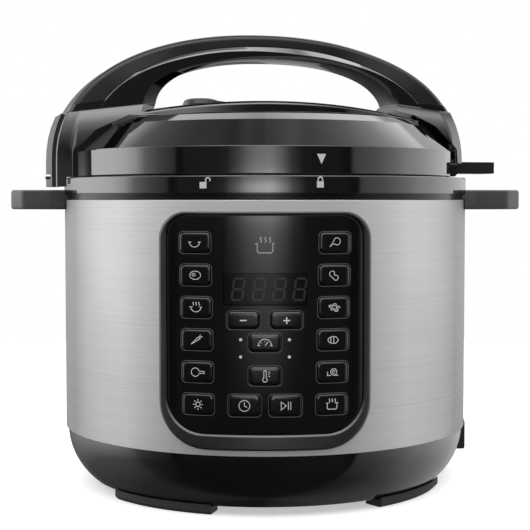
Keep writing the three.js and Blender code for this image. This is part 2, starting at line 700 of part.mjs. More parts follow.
// ---------------------------------------------------------------- the assembly
add("base_bowl", baseBowl(), "gloss");
add("base_plate", basePlate(), "galvanised");
[["front_left", 0], ["front_right", 90], ["rear_right", 180], ["rear_left", 270]]
  .forEach(([where, turn]) => add(`foot_${where}`, foot(FEET.turn + turn), "rubber"));
add("steel_wrap", steelWrap(), "steel");
add("upper_ring", upperRing(), "gloss");
add("base_handle_left", sideHandle(-1, 138), "satin");
add("base_handle_right", sideHandle(1, 144.5), "satin");
add("outer_pot", outerPot(), "galvanised");
add("bayonet_collar", bayonetCollar(), "steel");
add("heater_plate", heaterPlate(), "cast");
add("heater_element", heaterElement(), "steel");
add("thermostat_sensor", thermostatSensor(), "cast");
add("thermostat_spring", thermostatSpring(), "steel");
add("inner_pot", innerPot(), "polished");
add("power_board", powerBoard(), "board");
add("control_board", controlBoard(), "board");
add("power_inlet", powerInlet(), "satin");
add("inlet_pins", inletPins(), "brass");
add("collector_dock", collectorDock(), "satin");
add("collector_cup", collectorCup(), "clear");

add("panel_bezel", panelBezel(), "silver");
add("panel_face", panelFace(), "gloss");
add("display_window", displayWindow(), "window");
add("led_display", ledDisplay(), "segments");
BUTTONS.forEach((spec) => add(spec.name, button(spec), "button"));

add("sealing_ring", lidFrame(sealingRing()), "silicone");
add("lid_cover", lidFrame(lidCover()), "gloss");
add("lid_pressure_plate", lidFrame(lidPressurePlate()), "polished");
add("seal_rack", lidFrame(sealRack()), "steel");
add("handle_arch", lidFrame(handleArch()), "gloss");
add("handle_cap", lidFrame(handleCap()), "satin");
add("handle_end_cover", lidFrame(handleEndCover()), "satin");
add("handle_pin", lidFrame(handlePin()), "polished");
add("lid_stand_fin", lidFrame(lidStandFin()), "satin");
add("vent_pipe", lidFrame(ventPipe()), "polished");
add("anti_block_shield", lidFrame(antiBlockShield()), "steel");
add("steam_valve_knob", lidFrame(steamValveKnob()), "satin");
add("float_valve_pin", lidFrame(floatValvePin()), "polished");

export default group;
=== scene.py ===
"""Looks for the electric pressure cooker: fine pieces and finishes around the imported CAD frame.

Lengths in this file are millimetres in the CAD frame (+Z up, front towards -Y) and become metres
when a mesh is made. Lid pieces are drawn with the handle along X and turned to LID_ANGLE.
"""
import math

import bmesh
import bpy
from mathutils import Matrix, Vector


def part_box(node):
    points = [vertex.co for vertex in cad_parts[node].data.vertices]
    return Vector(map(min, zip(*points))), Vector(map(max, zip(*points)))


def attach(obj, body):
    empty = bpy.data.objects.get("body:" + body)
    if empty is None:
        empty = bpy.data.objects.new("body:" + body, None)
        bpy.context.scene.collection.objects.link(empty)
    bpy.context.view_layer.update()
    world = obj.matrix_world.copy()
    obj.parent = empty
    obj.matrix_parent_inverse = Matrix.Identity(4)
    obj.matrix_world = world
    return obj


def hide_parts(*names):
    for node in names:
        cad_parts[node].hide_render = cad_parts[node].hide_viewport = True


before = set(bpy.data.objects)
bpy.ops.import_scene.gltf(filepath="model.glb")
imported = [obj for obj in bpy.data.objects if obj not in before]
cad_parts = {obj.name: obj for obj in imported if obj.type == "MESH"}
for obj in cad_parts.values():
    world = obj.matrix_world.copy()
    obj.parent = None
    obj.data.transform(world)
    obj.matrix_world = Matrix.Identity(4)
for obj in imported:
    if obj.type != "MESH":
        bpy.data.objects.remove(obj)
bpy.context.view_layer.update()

MM = 0.001
GAP = 0.3
ROUND = 192  # segments of a large round piece
SMALL = 64  # segments of a small one
LID_ANGLE = 15.0


# ---- measurements taken from the frame
def span(node, axis):
    """Lowest and highest coordinate of a CAD node along an axis (0, 1 or 2), in millimetres."""
    low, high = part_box(node)
    return low[axis] / MM, high[axis] / MM


def extent(node):
    """How far a CAD node reaches along +X, and its lowest and highest z."""
    return span(node, 0)[1], *span(node, 2)


BODY_R, BODY_BOTTOM, BODY_TOP = extent("steel_wrap")
RING_R, _, RING_TOP = extent("upper_ring")
RING_BOTTOM = 193.8
PANEL_X, PANEL_LOW, PANEL_HIGH = extent("panel_bezel")
FACE_X, FACE_LOW, FACE_HIGH = extent("panel_face")
WINDOW_X, WINDOW_LOW, WINDOW_HIGH = extent("display_window")
BEZEL_R = -span("panel_bezel", 1)[0]
FACE_R = -span("panel_face", 1)[0]
HANDLE_TIP, HANDLE_LOW, HANDLE_HIGH = extent("base_handle_right")
LID_TOP_Z = 246.0
POT_BOTTOM, POT_RIM = span("inner_pot", 2)


# ---- outlines
def soften(corners, closed=True, steps=5):
    """An outline of (x, y) or (x, y, radius) corners, with an arc at each corner that has a radius."""
    points = []
    count = len(corners)
    for i, corner in enumerate(corners):
        p = Vector(corner[:2])
        inner = closed or 0 < i < count - 1
        if len(corner) < 3 or not inner:
            points.append(tuple(p))
            continue
        a = Vector(corners[i - 1][:2]) - p
        b = Vector(corners[(i + 1) % count][:2]) - p
        half = a.angle(b) / 2
        cut = min(corner[2] / math.tan(half), a.length * 0.49, b.length * 0.49)
        radius = cut * math.tan(half)
        a.normalize()
        b.normalize()
        centre = p + (a + b).normalized() * radius / math.sin(half)
        first, last = p + a * cut - centre, p + b * cut - centre
        turn = first.angle(last)
        for k in range(steps + 1):
            t = k / steps
            mixed = first * math.sin((1 - t) * turn) + last * math.sin(t * turn)
            points.append(tuple(centre + mixed / math.sin(turn)))
    return points


def box(x0, x1, y0, y1):
    return [(x0, y0), (x1, y0), (x1, y1), (x0, y1)]


def inset(outline, amount):
    """The closed outline (anticlockwise) moved inwards by an amount."""
    moved = []
    count = len(outline)
    for i, point in enumerate(outline):
        before = (Vector(point) - Vector(outline[i - 1])).normalized()
        after = (Vector(outline[(i + 1) % count]) - Vector(point)).normalized()
        normal = Vector((-(before.y + after.y), before.x + after.x))
        if normal.length < 1e-6:
            normal = Vector((-before.y, before.x))
        normal.normalize()
        stretch = max(0.5, normal.dot(Vector((-before.y, before.x))))
        moved.append(tuple(Vector(point) + normal * amount / stretch))
    return moved


def smoothstep(x, low, high):
    t = min(1, max(0, (x - low) / (high - low)))
    return t * t * (3 - 2 * t)


def spread(low, high, count):
    return [low + (high - low) * i / count for i in range(count + 1)]


# ---- meshes
def linked(name, data):
    """A new object in the scene with the given mesh or camera."""
    obj = bpy.data.objects.new(name, data)
    bpy.context.scene.collection.objects.link(obj)
    return obj


def build(name, verts, faces, turn=0.0):
    """A new mesh object from millimetre points, turned about Z, with its normals outwards."""
    mesh = bpy.data.meshes.new(name)
    mesh.from_pydata([Vector(v) * MM for v in verts], [], faces)
    bm = bmesh.new()
    bm.from_mesh(mesh)
    bmesh.ops.remove_doubles(bm, verts=bm.verts, dist=1e-7)
    bmesh.ops.recalc_face_normals(bm, faces=bm.faces)
    bm.to_mesh(mesh)
    bm.free()
    if turn:
        mesh.transform(Matrix.Rotation(math.radians(turn), 4, "Z"))
    return linked(name, mesh)


def skin(loops, closed_path=False, caps=True):
    """Points and faces of a skin over equal loops of points."""
    n = len(loops[0])
    verts = [p for loop in loops for p in loop]
    rows = len(loops)
    faces = []
    for i in range(rows if closed_path else rows - 1):
        a, b = i * n, ((i + 1) % rows) * n
        for j in range(n):
            k = (j + 1) % n
            faces.append((a + j, a + k, b + k, b + j))
    if caps and not closed_path:
        faces.append(tuple(range(n - 1, -1, -1)))
        faces.append(tuple(range((rows - 1) * n, rows * n)))
    return verts, faces


def lathe(name, profile, segments=ROUND, arc=None, centre=(0, 0), turn=0.0):
    """A closed profile of (radius, height) turned about Z, all the way round or over an arc in degrees.

    Azimuths are counted from the front (-Y) towards +X.
    """
    start, end = arc or (0, 360)
    steps = segments if arc is None else max(2, round(segments * (end - start) / 360))
    loops = []
    for i in range(steps if arc is None else steps + 1):
        a = math.radians(start + (end - start) * i / steps)
        s, c = math.sin(a), -math.cos(a)
        loops.append([(centre[0] + r * s, centre[1] + r * c, z) for r, z in profile])
    verts, faces = skin(loops, closed_path=arc is None)
    return build(name, verts, faces, turn)


def prism(name, outline, low, high, place, turn=0.0):
    """An outline of (x, y) carried from low to high; place(x, y, h) gives the point in space."""
    loops = [[place(x, y, h) for x, y in outline] for h in (low, high)]
    verts, faces = skin(loops)
    return build(name, verts, faces, turn)


def plan(x, y, h):
    return x, y, h


def side(x, z, h):
    return x, h, z


def endwise(y, z, h):
    return h, y, z


def around(azimuth):
    """Places (x, z, r) on the body: x along the tangent, z up and r outwards at that azimuth."""
    s, c = math.sin(math.radians(azimuth)), math.cos(math.radians(azimuth))

    def place(x, z, r):
        depth = math.sqrt(max(0.0, r * r - x * x))
        return x * c + depth * s, x * s - depth * c, z

    return place


def straight(azimuth):
    """Like around, but r is measured straight out from the axis plane, as for a flat plug."""
    s, c = math.sin(math.radians(azimuth)), math.cos(math.radians(azimuth))
    return lambda x, z, r: (x * c + r * s, x * s - r * c, z)


def evaluated(obj):
    """Applies an object's modifiers to its mesh."""
    depsgraph = bpy.context.evaluated_depsgraph_get()
    mesh = bpy.data.meshes.new_from_object(obj.evaluated_get(depsgraph))
    obj.modifiers.clear()
    obj.data = mesh
    return obj


def combine(obj, others, operation):
    for other in others:
        modifier = obj.modifiers.new("combine", "BOOLEAN")
        modifier.operation = operation
        modifier.solver = "EXACT"
        modifier.object = other
    evaluated(obj)
    for other in others:
        bpy.data.objects.remove(other)
    return obj


def cut(obj, *cutters):
    return combine(obj, cutters, "DIFFERENCE")


def fuse(obj, *others):
    return combine(obj, others, "UNION")


def bevel(obj, width, segments=3, angle=35):
    modifier = obj.modifiers.new("bevel", "BEVEL")
    modifier.width = width * MM
    modifier.segments = segments
    modifier.limit_method = "ANGLE"
    modifier.angle_limit = math.radians(angle)
    return evaluated(obj)


def refined(node, name, width, segments=3, angle=30):
    """A new piece in a CAD node's shape, with its flat faces joined up and its edges rounded."""
    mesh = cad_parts[node].data.copy()
    mesh.name = name
    mesh.materials.clear()
    bm = bmesh.new()
    bm.from_mesh(mesh)
    bmesh.ops.remove_doubles(bm, verts=bm.verts, dist=1e-6)
    bmesh.ops.dissolve_limit(
        bm, angle_limit=math.radians(1), verts=bm.verts, edges=bm.edges)
    bm.to_mesh(mesh)
    bm.free()
    return bevel(linked(name, mesh), width, segments, angle)


def piece(obj, finish, body, nodes=(), sharp=32):
    """Shades and paints a piece, hangs it on its body and hides the CAD nodes it stands for."""
    mesh = obj.data
    mesh.shade_smooth()
    mesh.set_sharp_from_angle(angle=math.radians(sharp))
    mesh.materials.clear()
    mesh.materials.append(FINISHES[finish])
    normals = obj.modifiers.new("normals", "WEIGHTED_NORMAL")
    normals.keep_sharp, normals.weight = True, 100
    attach(obj, body)
    if nodes:
        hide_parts(*nodes)
    return obj


# ---- finishes
NOISE_SPAN = (0.3, 0.7)  # where nearly all of a noise lies


def shade(colour):
    """A colour as it is, or a neutral one from its level."""
    return colour if isinstance(colour, tuple) else (colour, colour, colour * 1.01)


class Tree:
    """A short way to write a node tree."""

    def __init__(self, owner):
        owner.use_nodes = True
        self.tree = owner.node_tree

    def add(self, kind, settings=None, **inputs):
        node = self.tree.nodes.new(kind)
        for key, value in (settings or {}).items():
            setattr(node, key, value)
        for key, value in inputs.items():
            self.put(node.inputs[key.replace("_", " ")], value)
        return node

    def put(self, socket, value):
        if isinstance(value, bpy.types.NodeSocket):
            self.tree.links.new(value, socket)
        else:
            socket.default_value = value


class Nodes(Tree):
    """A material's node tree."""

    def __init__(self, name):
        self.material = bpy.data.materials.new(name)
        super().__init__(self.material)
        self.shader = self.tree.nodes["Principled BSDF"]
        self.coords = self.add("ShaderNodeTexCoord").outputs["Object"]

    def noise(self, scale, stretch=(1, 1, 1), detail=4.0):
        """Noise over the object's own metres, drawn out along an axis where stretch is small."""
        mapped = self.add("ShaderNodeMapping", Vector=self.coords, Scale=stretch)
        return self.add(
            "ShaderNodeTexNoise", Vector=mapped.outputs[0], Scale=scale, Detail=detail).outputs["Fac"]

    def ramp(self, value, low, high):
        """A number that follows value from low to high."""
        start, end = NOISE_SPAN
        return self.add(
            "ShaderNodeMapRange", Value=value, From_Min=start, From_Max=end, To_Min=low, To_Max=high,
        ).outputs[0]

    def tint(self, value, dark, light):
        """A colour between dark and light that follows value."""
        ramp = self.add("ShaderNodeValToRGB", Fac=value)
        stops = zip(ramp.color_ramp.elements, NOISE_SPAN, (dark, light))
        for element, position, colour in stops:
            element.position = position
            element.color = (*shade(colour), 1)
        return ramp.outputs["Color"]

    def bump(self, height, distance, strength=1.0):
        """Raises the surface by height times distance, in millimetres."""
        node = self.add(
            "ShaderNodeBump", Height=height, Distance=distance * MM, Strength=strength)
        self.put(self.shader.inputs["Normal"], node.outputs["Normal"])

    def set(self, **inputs):
        for key, value in inputs.items():
            self.put(self.shader.inputs[key.replace("_", " ")], value)
        return self.material


def plastic(name, dark, light, rough, grain, depth, **more):
    """Moulded plastic or rubber: faint smudges in colour and gloss over a fine surface grain."""
    n = Nodes(name)
    smudge = n.noise(14, detail=6)
    n.bump(n.noise(grain), depth)
    return n.set(
        Base_Color=n.tint(smudge, dark, light), Roughness=n.ramp(smudge, *rough), **more)


def brushed(name, dark, light, rough, stretch, depth):
    """Metal brushed along the two axes where stretch is small, with painted shade that darkens its colour
    where it turns away from view.
    """
    n = Nodes(name)
    lines = n.noise(60, stretch, detail=5)
    broad = n.noise(9, detail=3)
    n.bump(lines, depth)
    tangent = n.add("ShaderNodeTangent", {"direction_type": "RADIAL", "axis": "Z"})
    # painted shade: the streaked colour is scaled from 1.0 where the surface faces the view down to 0.45
    # where it turns away
    edge = n.ramp(n.add("ShaderNodeLayerWeight", Blend=0.5).outputs["Facing"], 1.0, 0.45)
    streaks = n.tint(lines, dark, light)
    colour = n.add("ShaderNodeVectorMath", {"operation": "SCALE"}, Vector=streaks, Scale=edge)
    return n.set(
        Base_Color=colour.outputs[0], Roughness=n.ramp(broad, *rough),
        Metallic=1.0, Anisotropic=0.5, Tangent=tangent.outputs[0])


def metal(name, dark, light, rough, grain, depth):
    """Plain metal with a faint grain, from polished steel to a casting."""
    n = Nodes(name)
    cloud = n.noise(22, detail=6)
    n.bump(n.noise(grain), depth)
    return n.set(
        Base_Color=n.tint(cloud, dark, light), Roughness=n.ramp(cloud, *rough), Metallic=1.0)


def circuit_board():
    """Green lacquer with copper tracks showing through as faint lighter lines."""
    n = Nodes("circuit_board")
    cells = n.add("ShaderNodeTexVoronoi", {"distance": "MANHATTAN"}, Vector=n.coords, Scale=160.0)
    n.bump(cells.outputs["Distance"], 0.05)
    return n.set(
        Base_Color=n.tint(cells.outputs["Distance"], (0.01, 0.07, 0.03), (0.03, 0.16, 0.07)),
        Roughness=n.ramp(n.noise(30), 0.35, 0.55))


FINISHES = {
    "gloss": plastic("gloss_black", 0.0025, 0.0045, (0.05, 0.09), 90, 0.008, IOR=1.9),
    "grip": plastic("grip_black", 0.045, 0.055, (0.32, 0.42), 900, 0.012),
    "groove": plastic("groove_black", 0.005, 0.008, (0.18, 0.26), 900, 0.010, IOR=1.35),
    "satin": plastic("satin_black", 0.009, 0.014, (0.26, 0.36), 900, 0.012),
    "panel": plastic("panel_black", 0.002, 0.0035, (0.05, 0.09), 60, 0.006, IOR=1.7),
    "button": plastic("button_black", 0.0025, 0.004, (0.08, 0.13), 70, 0.008, IOR=1.7),
    "rim": plastic("button_rim", 0.045, 0.065, (0.3, 0.4), 900, 0.01),
    "window": plastic("display_window", 0.002, 0.003, (0.03, 0.06), 50, 0.004),
    "segments": plastic("led_segments", 0.018, 0.026, (0.25, 0.35), 900, 0.004),
    "print": plastic("white_print", 0.62, 0.72, (0.4, 0.5), 1500, 0.006),
    "pale_print": plastic("pale_print", 0.36, 0.46, (0.4, 0.5), 1500, 0.006),
    "rubber": plastic("foot_rubber", 0.010, 0.018, (0.7, 0.9), 1600, 0.05),
    "silicone": plastic("silicone", 0.55, 0.66, (0.45, 0.6), 700, 0.02, Subsurface_Weight=0.1),
    "clear": plastic(
        "clear_plastic", 0.75, 0.85, (0.06, 0.14), 60, 0.01, Transmission_Weight=0.85, IOR=1.49),
    "steel": brushed("brushed_steel", 0.73, 0.82, (0.54, 0.62), (0.06, 0.06, 40), 0.010),
    "polished": metal("polished_steel", 0.60, 0.68, (0.10, 0.18), 700, 0.004),
    "silver": metal("silver_plastic", 0.08, 0.11, (0.34, 0.44), 800, 0.008),
    "cast": metal("cast_aluminium", 0.38, 0.50, (0.4, 0.6), 500, 0.06),
    "plated": metal("plated_steel", 0.36, 0.48, (0.3, 0.45), 300, 0.02),
    "brass": metal("brass", (0.55, 0.38, 0.14), (0.65, 0.46, 0.2), (0.25, 0.4), 500, 0.01),
    "board": circuit_board(),
}


def repaint(finish, *nodes):
    """A CAD node that keeps its own shape gets its finish here."""
    for node in nodes:
        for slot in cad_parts[node].material_slots:
            slot.material = FINISHES[finish]


# ---- base
BOWL_A, BOWL_B, BOWL_FLOOR, BOWL_TOP = 48.0, 45.0, 4.9, 39.2
WALL, PLATE_R = 2.5, 106.0
INLET_AZIMUTH, INLET_R, INLET_HALF, INLET_LOW, INLET_HIGH = 100.0, 117.0, 16.0, 17.0, 38.0
BOWL_IN = 1.5  # how far the bowl's wall stands inside the steel


def bowl_radius(z):
    return BODY_R - BOWL_IN - BOWL_A * (1 - math.sqrt(1 - ((BODY_BOTTOM - z) / BOWL_B) ** 2))


def rounded_box(x0, x1, z0, z1, low_r, high_r=None, steps=6):
    """A box outline whose lower and upper corners have their own radii."""
    high_r = high_r or low_r
    return soften([(x0, z0, low_r), (x1, z0, low_r), (x1, z1, high_r), (x0, z1, high_r)], steps=steps)


def base_bowl():
    heights = spread(BOWL_FLOOR + 0.6, BOWL_TOP, 26)
    outside = [(bowl_radius(z), z) for z in heights]
    underside = [(PLATE_R, BOWL_FLOOR), (bowl_radius(BOWL_FLOOR) - 1.6, BOWL_FLOOR)]
    lip = [(BODY_R - BOWL_IN, 45.1), (BODY_R - 1.8, 45.4), (BODY_R - 3.8, 45.4)]
    inside = [(bowl_radius(z - 1.1) - WALL, z) for z in spread(BOWL_TOP, BOWL_FLOOR + WALL, 8)]
    bowl = lathe("bowl_shell", underside + outside + lip + inside + [(PLATE_R, BOWL_FLOOR + WALL)])
    opening = rounded_box(-INLET_HALF - GAP, INLET_HALF + GAP, INLET_LOW - GAP, INLET_HIGH + GAP, 3)
    cutter = prism("opening", opening, INLET_R - 4, 160, straight(INLET_AZIMUTH))
    piece(cut(bowl, cutter), "gloss", "housing", ["base_bowl"])


FOOT_INNER, FOOT_OUTER, FOOT_HALF, FOOT_TURN, FOOT_TOP = 104.4, 119.4, 18.4, -34.5, 4.4


def feet():
    section = soften([
        (FOOT_INNER, 0.0, 0.8), (FOOT_OUTER - 2.4, 0.0, 0.8), (FOOT_OUTER, 2.2, 0.8),
        (FOOT_OUTER, 7.0, 0.4), (FOOT_OUTER - 3, FOOT_TOP), (FOOT_INNER, FOOT_TOP, 0.5)], steps=4)
    for i, where in enumerate(["front_left", "front_right", "rear_right", "rear_left"]):
        middle = FOOT_TURN + 90 * i
        foot = lathe(f"rubber_{where}", section, arc=(middle - FOOT_HALF, middle + FOOT_HALF))
        piece(bevel(foot, 0.6, 2, 60), "rubber", "housing", [f"foot_{where}"])


SHEET = 0.8
PANEL_LAP = 2.0  # how far the panel's surround lies over the steel
PANEL_LOW_R, PANEL_HIGH_R = 28.0, 16.0
THROUGH = (100, 160)  # from inside the body's wall to outside it


def steel_wrap():
    inner = BODY_R - SHEET
    section = soften([
        (inner, BODY_BOTTOM), (BODY_R, BODY_BOTTOM, 0.35), (BODY_R, BODY_TOP, 0.35), (inner, BODY_TOP)])
    wrap = lathe("wrap_sheet", section)
    edge = rounded_box(
        PANEL_LAP - PANEL_X, PANEL_X - PANEL_LAP, PANEL_LOW + PANEL_LAP, PANEL_HIGH - PANEL_LAP,
        PANEL_LOW_R - PANEL_LAP, PANEL_HIGH_R - PANEL_LAP, steps=16)
    window = prism("window", edge, *THROUGH, straight(0))
    half = span("collector_dock", 0)[1] + GAP
    low, high = span("collector_dock", 2)
    dock = prism("dock", box(-half, half, low - GAP, high + GAP), *THROUGH, straight(180))
    piece(cut(wrap, window, dock), "steel", "housing", ["steel_wrap"])


def upper_ring():
    r = RING_R
    section = soften([
        (r, RING_BOTTOM, 0.5), (r, RING_TOP, 1.0), (122.1, RING_TOP, 1.0), (122.1, 192.5),
        (124.6, 192.5), (124.6, RING_TOP - WALL), (r - 3.4, RING_TOP - WALL), (r - 4.6, 200.6),
        (r - 4.6, 187), (r - 2.3, 187), (r - 2.3, RING_BOTTOM)])
    piece(lathe("collar_ring", section), "gloss", "housing", ["upper_ring"])
    inner, outer, low, high = r - 2.25, r - 1.2, 187.5, RING_BOTTOM - 0.1
    piece(lathe("collar_groove", box(inner, outer, low, high)), "groove", "housing", ["upper_ring"])


SLOT_WIDTH, SLOT_HALF = 9.0, 13.0


def side_handle(name, node, sign, slot_inner):
    """A side handle: wide at the root, narrower at a rounded tip, with a slot for the lid's fin.

    A tongue of it reaches into the groove below the ring.
    """
    root = RING_R + 0.25
    outline = soften([
        (120, -36), (root + 4, -36, 14), (HANDLE_TIP - 12, -29, 9), (HANDLE_TIP - 2.6, -19, 7),
        (HANDLE_TIP - 0.1, -2, 30), (HANDLE_TIP - 0.1, 2, 30), (HANDLE_TIP - 2.6, 19, 7),
        (HANDLE_TIP - 12, 29, 9), (root + 4, 36, 14), (120, 36)], steps=8)
    profile = [(1.6, HANDLE_LOW), (0.5, HANDLE_LOW + 0.45), (0, HANDLE_LOW + 1.6)]
    profile += [(0, HANDLE_HIGH - 1.6), (0.5, HANDLE_HIGH - 0.45), (1.6, HANDLE_HIGH)]
    loops = [[(x, y, z) for x, y in inset(outline, amount)] for amount, z in profile]
    turn = 0 if sign > 0 else 180
    handle = build(name, *skin(loops), turn)
    slot_outline = rounded_box(slot_inner, slot_inner + SLOT_WIDTH, -SLOT_HALF, SLOT_HALF, 2)
    slot = prism("slot", slot_outline, 180, 200, plan, turn)
    groove, low, high = RING_R - 2, 190.3, RING_BOTTOM - GAP
    body = lathe("body", [(0, 170), (root, 170), (root, low), (groove, low), (groove, high),
                          (root, high), (root, 210), (0, 210)])
    piece(bevel(cut(handle, slot, body), 0.4, 2, 50), "grip", "housing", [node])


base_bowl()
feet()
steel_wrap()
upper_ring()
side_handle("side_grip_right", "base_handle_right", 1, 144.5)
side_handle("side_grip_left", "base_handle_left", -1, 138)
piece(refined("base_plate", "underside_plate", 0.4), "plated", "housing", ["base_plate"])
piece(refined("power_inlet", "inlet_shroud", 0.6), "satin", "housing", ["power_inlet"])
piece(refined("inlet_pins", "inlet_blades", 0.3), "brass", "housing", ["inlet_pins"])
piece(refined("collector_dock", "cup_dock", 0.6), "satin", "housing", ["collector_dock"])
piece(refined("collector_cup", "drip_cup", 0.5), "clear", "collector", ["collector_cup"])


# ---- inside the housing
LUGS = 12


def teeth(name, inner, outer, low, high, half, turn=0.0):
    """Bayonet teeth, evenly round the axis."""
    section = soften([(inner, low, 0.5), (outer, low), (outer, high), (inner, high, 0.5)], steps=3)
    middles = [360 / LUGS * i for i in range(LUGS)]
    return [lathe(name, section, arc=(middle - half, middle + half), turn=turn) for middle in middles]


def cooking_pot():
    r, z = 109.5, POT_BOTTOM
    section = soften([
        (0, z), (r, z, 7), (r, POT_RIM - 1.2, 1.5), (r + 4.1, POT_RIM - 1.2, 0.5), (r + 4.1, POT_RIM, 0.5),
        (r - 1, POT_RIM, 1.5), (r - 1, z + 1.6, 7.5), (0, z + 1.6)], steps=8)
    piece(lathe("cooking_pot", section), "polished", "pot", ["inner_pot"])


def outer_pot():
    section = soften([
        (6, 22), (104, 22, 4), (113.2, 31, 6), (113.2, 188, 1), (121.2, 188), (121.2, 189.2),
        (112, 189.2, 1.5), (112, 31.6, 5), (103.4, 23.2, 3), (6, 23.2)])
    piece(lathe("heater_shell", section, 128), "plated", "housing", ["outer_pot"])


def bayonet_collar():
    section = soften([(119.6, 189.5), (121.4, 189.5), (121.4, 203.6, 0.5), (119.6, 203.6)])
    collar = fuse(lathe("locking_collar", section), *teeth("tooth", 117, 120.2, 200.4, 203.6, 7.5))
    piece(collar, "plated", "housing", ["bayonet_collar"])


cooking_pot()
outer_pot()
bayonet_collar()
repaint("cast", "heater_plate", "thermostat_sensor")
repaint("plated", "heater_element", "thermostat_spring")
repaint("board", "power_board", "control_board")


# ---- control panel
class Rounded:
    """A rounded rectangle in front view, with its own radii for lower and upper corners."""

    def __init__(self, half, low, high, low_r, high_r=None, middle=30):
        self.half, self.low, self.high = half, low, high
        self.low_r, self.high_r, self.middle = low_r, high_r or low_r, middle

    def stations(self):
        """Positions across it, close together in the corners and even between them."""
        angles = [math.radians(a) for a in range(0, 91, 10)]
        corner = sorted([self.low_r * (1 - math.cos(a)) for a in angles]
                        + [self.high_r * (1 - math.cos(a)) - 1e-4 for a in angles[1:]])
        left = [-self.half + max(0.0, c) for c in corner]
        inner = -left[-1]
        middle = spread(-inner, inner, self.middle)[1:-1]
        return left + middle + [-x for x in reversed(left)]

    def rise(self, x, radius):
        over = abs(x) - (self.half - radius)
        return 0.0 if over <= 0 else radius - math.sqrt(max(0.0, radius ** 2 - over ** 2))

    def loop(self, amount=0.0):
        """(x, z) points moved inwards by an amount: lower ones from left to right, then upper ones back.

        Two loops with the same number of middle stations match point for point.
        """
        xs = self.stations()
        points = [(x, self.low + self.rise(x, self.low_r)) for x in xs]
        points += [(x, self.high - self.rise(x, self.high_r)) for x in reversed(xs)]
        centre, tall = (self.low + self.high) / 2, (self.high - self.low) / 2
        return [(x * (1 - amount / self.half), centre + (z - centre) * (1 - amount / tall))
                for x, z in points]


def plate(name, loops, place):
    """A solid from matching loops of (outline, r); its first and last loops are filled in strips."""
    rings = [[place(x, z, r) for x, z in outline] for outline, r in loops]
    verts, faces = skin(rings, caps=False)
    n = len(rings[0])
    for base in (0, (len(rings) - 1) * n):
        for j in range(n // 2 - 1):
            faces.append((base + j, base + j + 1, base + n - 2 - j, base + n - 1 - j))
    return build(name, verts, faces)


def ring_piece(name, loops, place):
    """A closed ring from matching loops of (outline, r)."""
    rings = [[place(x, z, r) for x, z in outline] for outline, r in loops]
    return build(name, *skin(rings, closed_path=True))


FACE = Rounded(FACE_X + GAP, FACE_LOW - GAP, FACE_HIGH + GAP, 22, 13)
PANEL = Rounded(PANEL_X, PANEL_LOW, PANEL_HIGH, PANEL_LOW_R, PANEL_HIGH_R)
WINDOW = Rounded(WINDOW_X, WINDOW_LOW, WINDOW_HIGH, 1, middle=16)
BUTTONS = [f"button_{side}_{i}" for side in ("left", "right") for i in range(1, 7)]
BUTTONS += [f"button_{word}" for word in ("minus", "plus", "pressure", "temp", "delay", "start")]
BUTTON_HALF, BUTTON_CORNER, BUTTON_FLANGE = 9.4, 2.6, 0.9
BUTTON_R = 136.9


def button_spot(node):
    """A button's azimuth and its cap's outline, from its CAD solid."""
    low, high = (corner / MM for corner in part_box(node))
    azimuth = math.degrees(math.atan2(low.x + high.x, -low.y - high.y))
    outline = Rounded(BUTTON_HALF, low.z + BUTTON_FLANGE, high.z - BUTTON_FLANGE, BUTTON_CORNER, middle=8)
    return azimuth, outline


def bezel():
    outer = [(PANEL.loop(0.0), BODY_R + 0.35), (PANEL.loop(0.0), BEZEL_R - 0.9),
             (PANEL.loop(0.3), BEZEL_R - 0.3), (PANEL.loop(0.9), BEZEL_R - 0.02), (PANEL.loop(1.2), BEZEL_R)]
    inner = [(FACE.loop(-1.3), BEZEL_R), (FACE.loop(-1.0), BEZEL_R - 0.15), (FACE.loop(-0.1), FACE_R + 0.4),
             (FACE.loop(0.0), FACE_R), (FACE.loop(0.0), 132.2)]
    neck = [(PANEL.loop(2.5), 132.2), (PANEL.loop(2.5), BODY_R + 0.35)]
    surround = ring_piece("panel_surround", outer + inner + neck, around(0))
    piece(surround, "silver", "housing", ["panel_bezel"])


def hole(outline, azimuth):
    return plate("hole", [(outline, 125), (outline, 150)], straight(azimuth))


def panel_face():
    inner = [(FACE.loop(GAP), 133.2), (FACE.loop(GAP), FACE_R - 0.4), (FACE.loop(GAP + 0.15), FACE_R - 0.1),
             (FACE.loop(GAP + 0.5), FACE_R)]
    face = plate("panel_sheet", inner, around(0))
    opening = Rounded(WINDOW_X + GAP, WINDOW_LOW - GAP, WINDOW_HIGH + GAP, 1.2, middle=4)
    holes = [hole(opening.loop(), 0)]
    for node in BUTTONS:
        azimuth, outline = button_spot(node)
        holes.append(hole(outline.loop(-0.35), azimuth))
    piece(cut(face, join(holes)), "panel", "housing", ["panel_face"])


def join(objects):
    """One object from several that don't overlap."""
    first = objects[0]
    bm = bmesh.new()
    for obj in objects:
        bm.from_mesh(obj.data)
    bm.to_mesh(first.data)
    bm.free()
    for obj in objects[1:]:
        bpy.data.objects.remove(obj)
    return first


def display_window():
    glass = plate("display_glass", [
        (WINDOW.loop(), 134.4), (WINDOW.loop(), FACE_R - 0.35), (WINDOW.loop(0.1), FACE_R - 0.15),
        (WINDOW.loop(0.3), FACE_R - 0.1)], around(0))
    piece(glass, "window", "housing", ["display_window"])


def strips(name, polygons, place, low, high):
    """Thin solids from flat polygons, as for print or raised marks, all in one mesh."""
    verts, faces = [], []
    for polygon in polygons:
        start = len(verts)
        new, sides = skin([[place(x, z, r) for x, z in polygon] for r in (low, high)])
        verts += new
        faces += [tuple(start + i for i in face) for face in sides]
    return build(name, verts, faces)


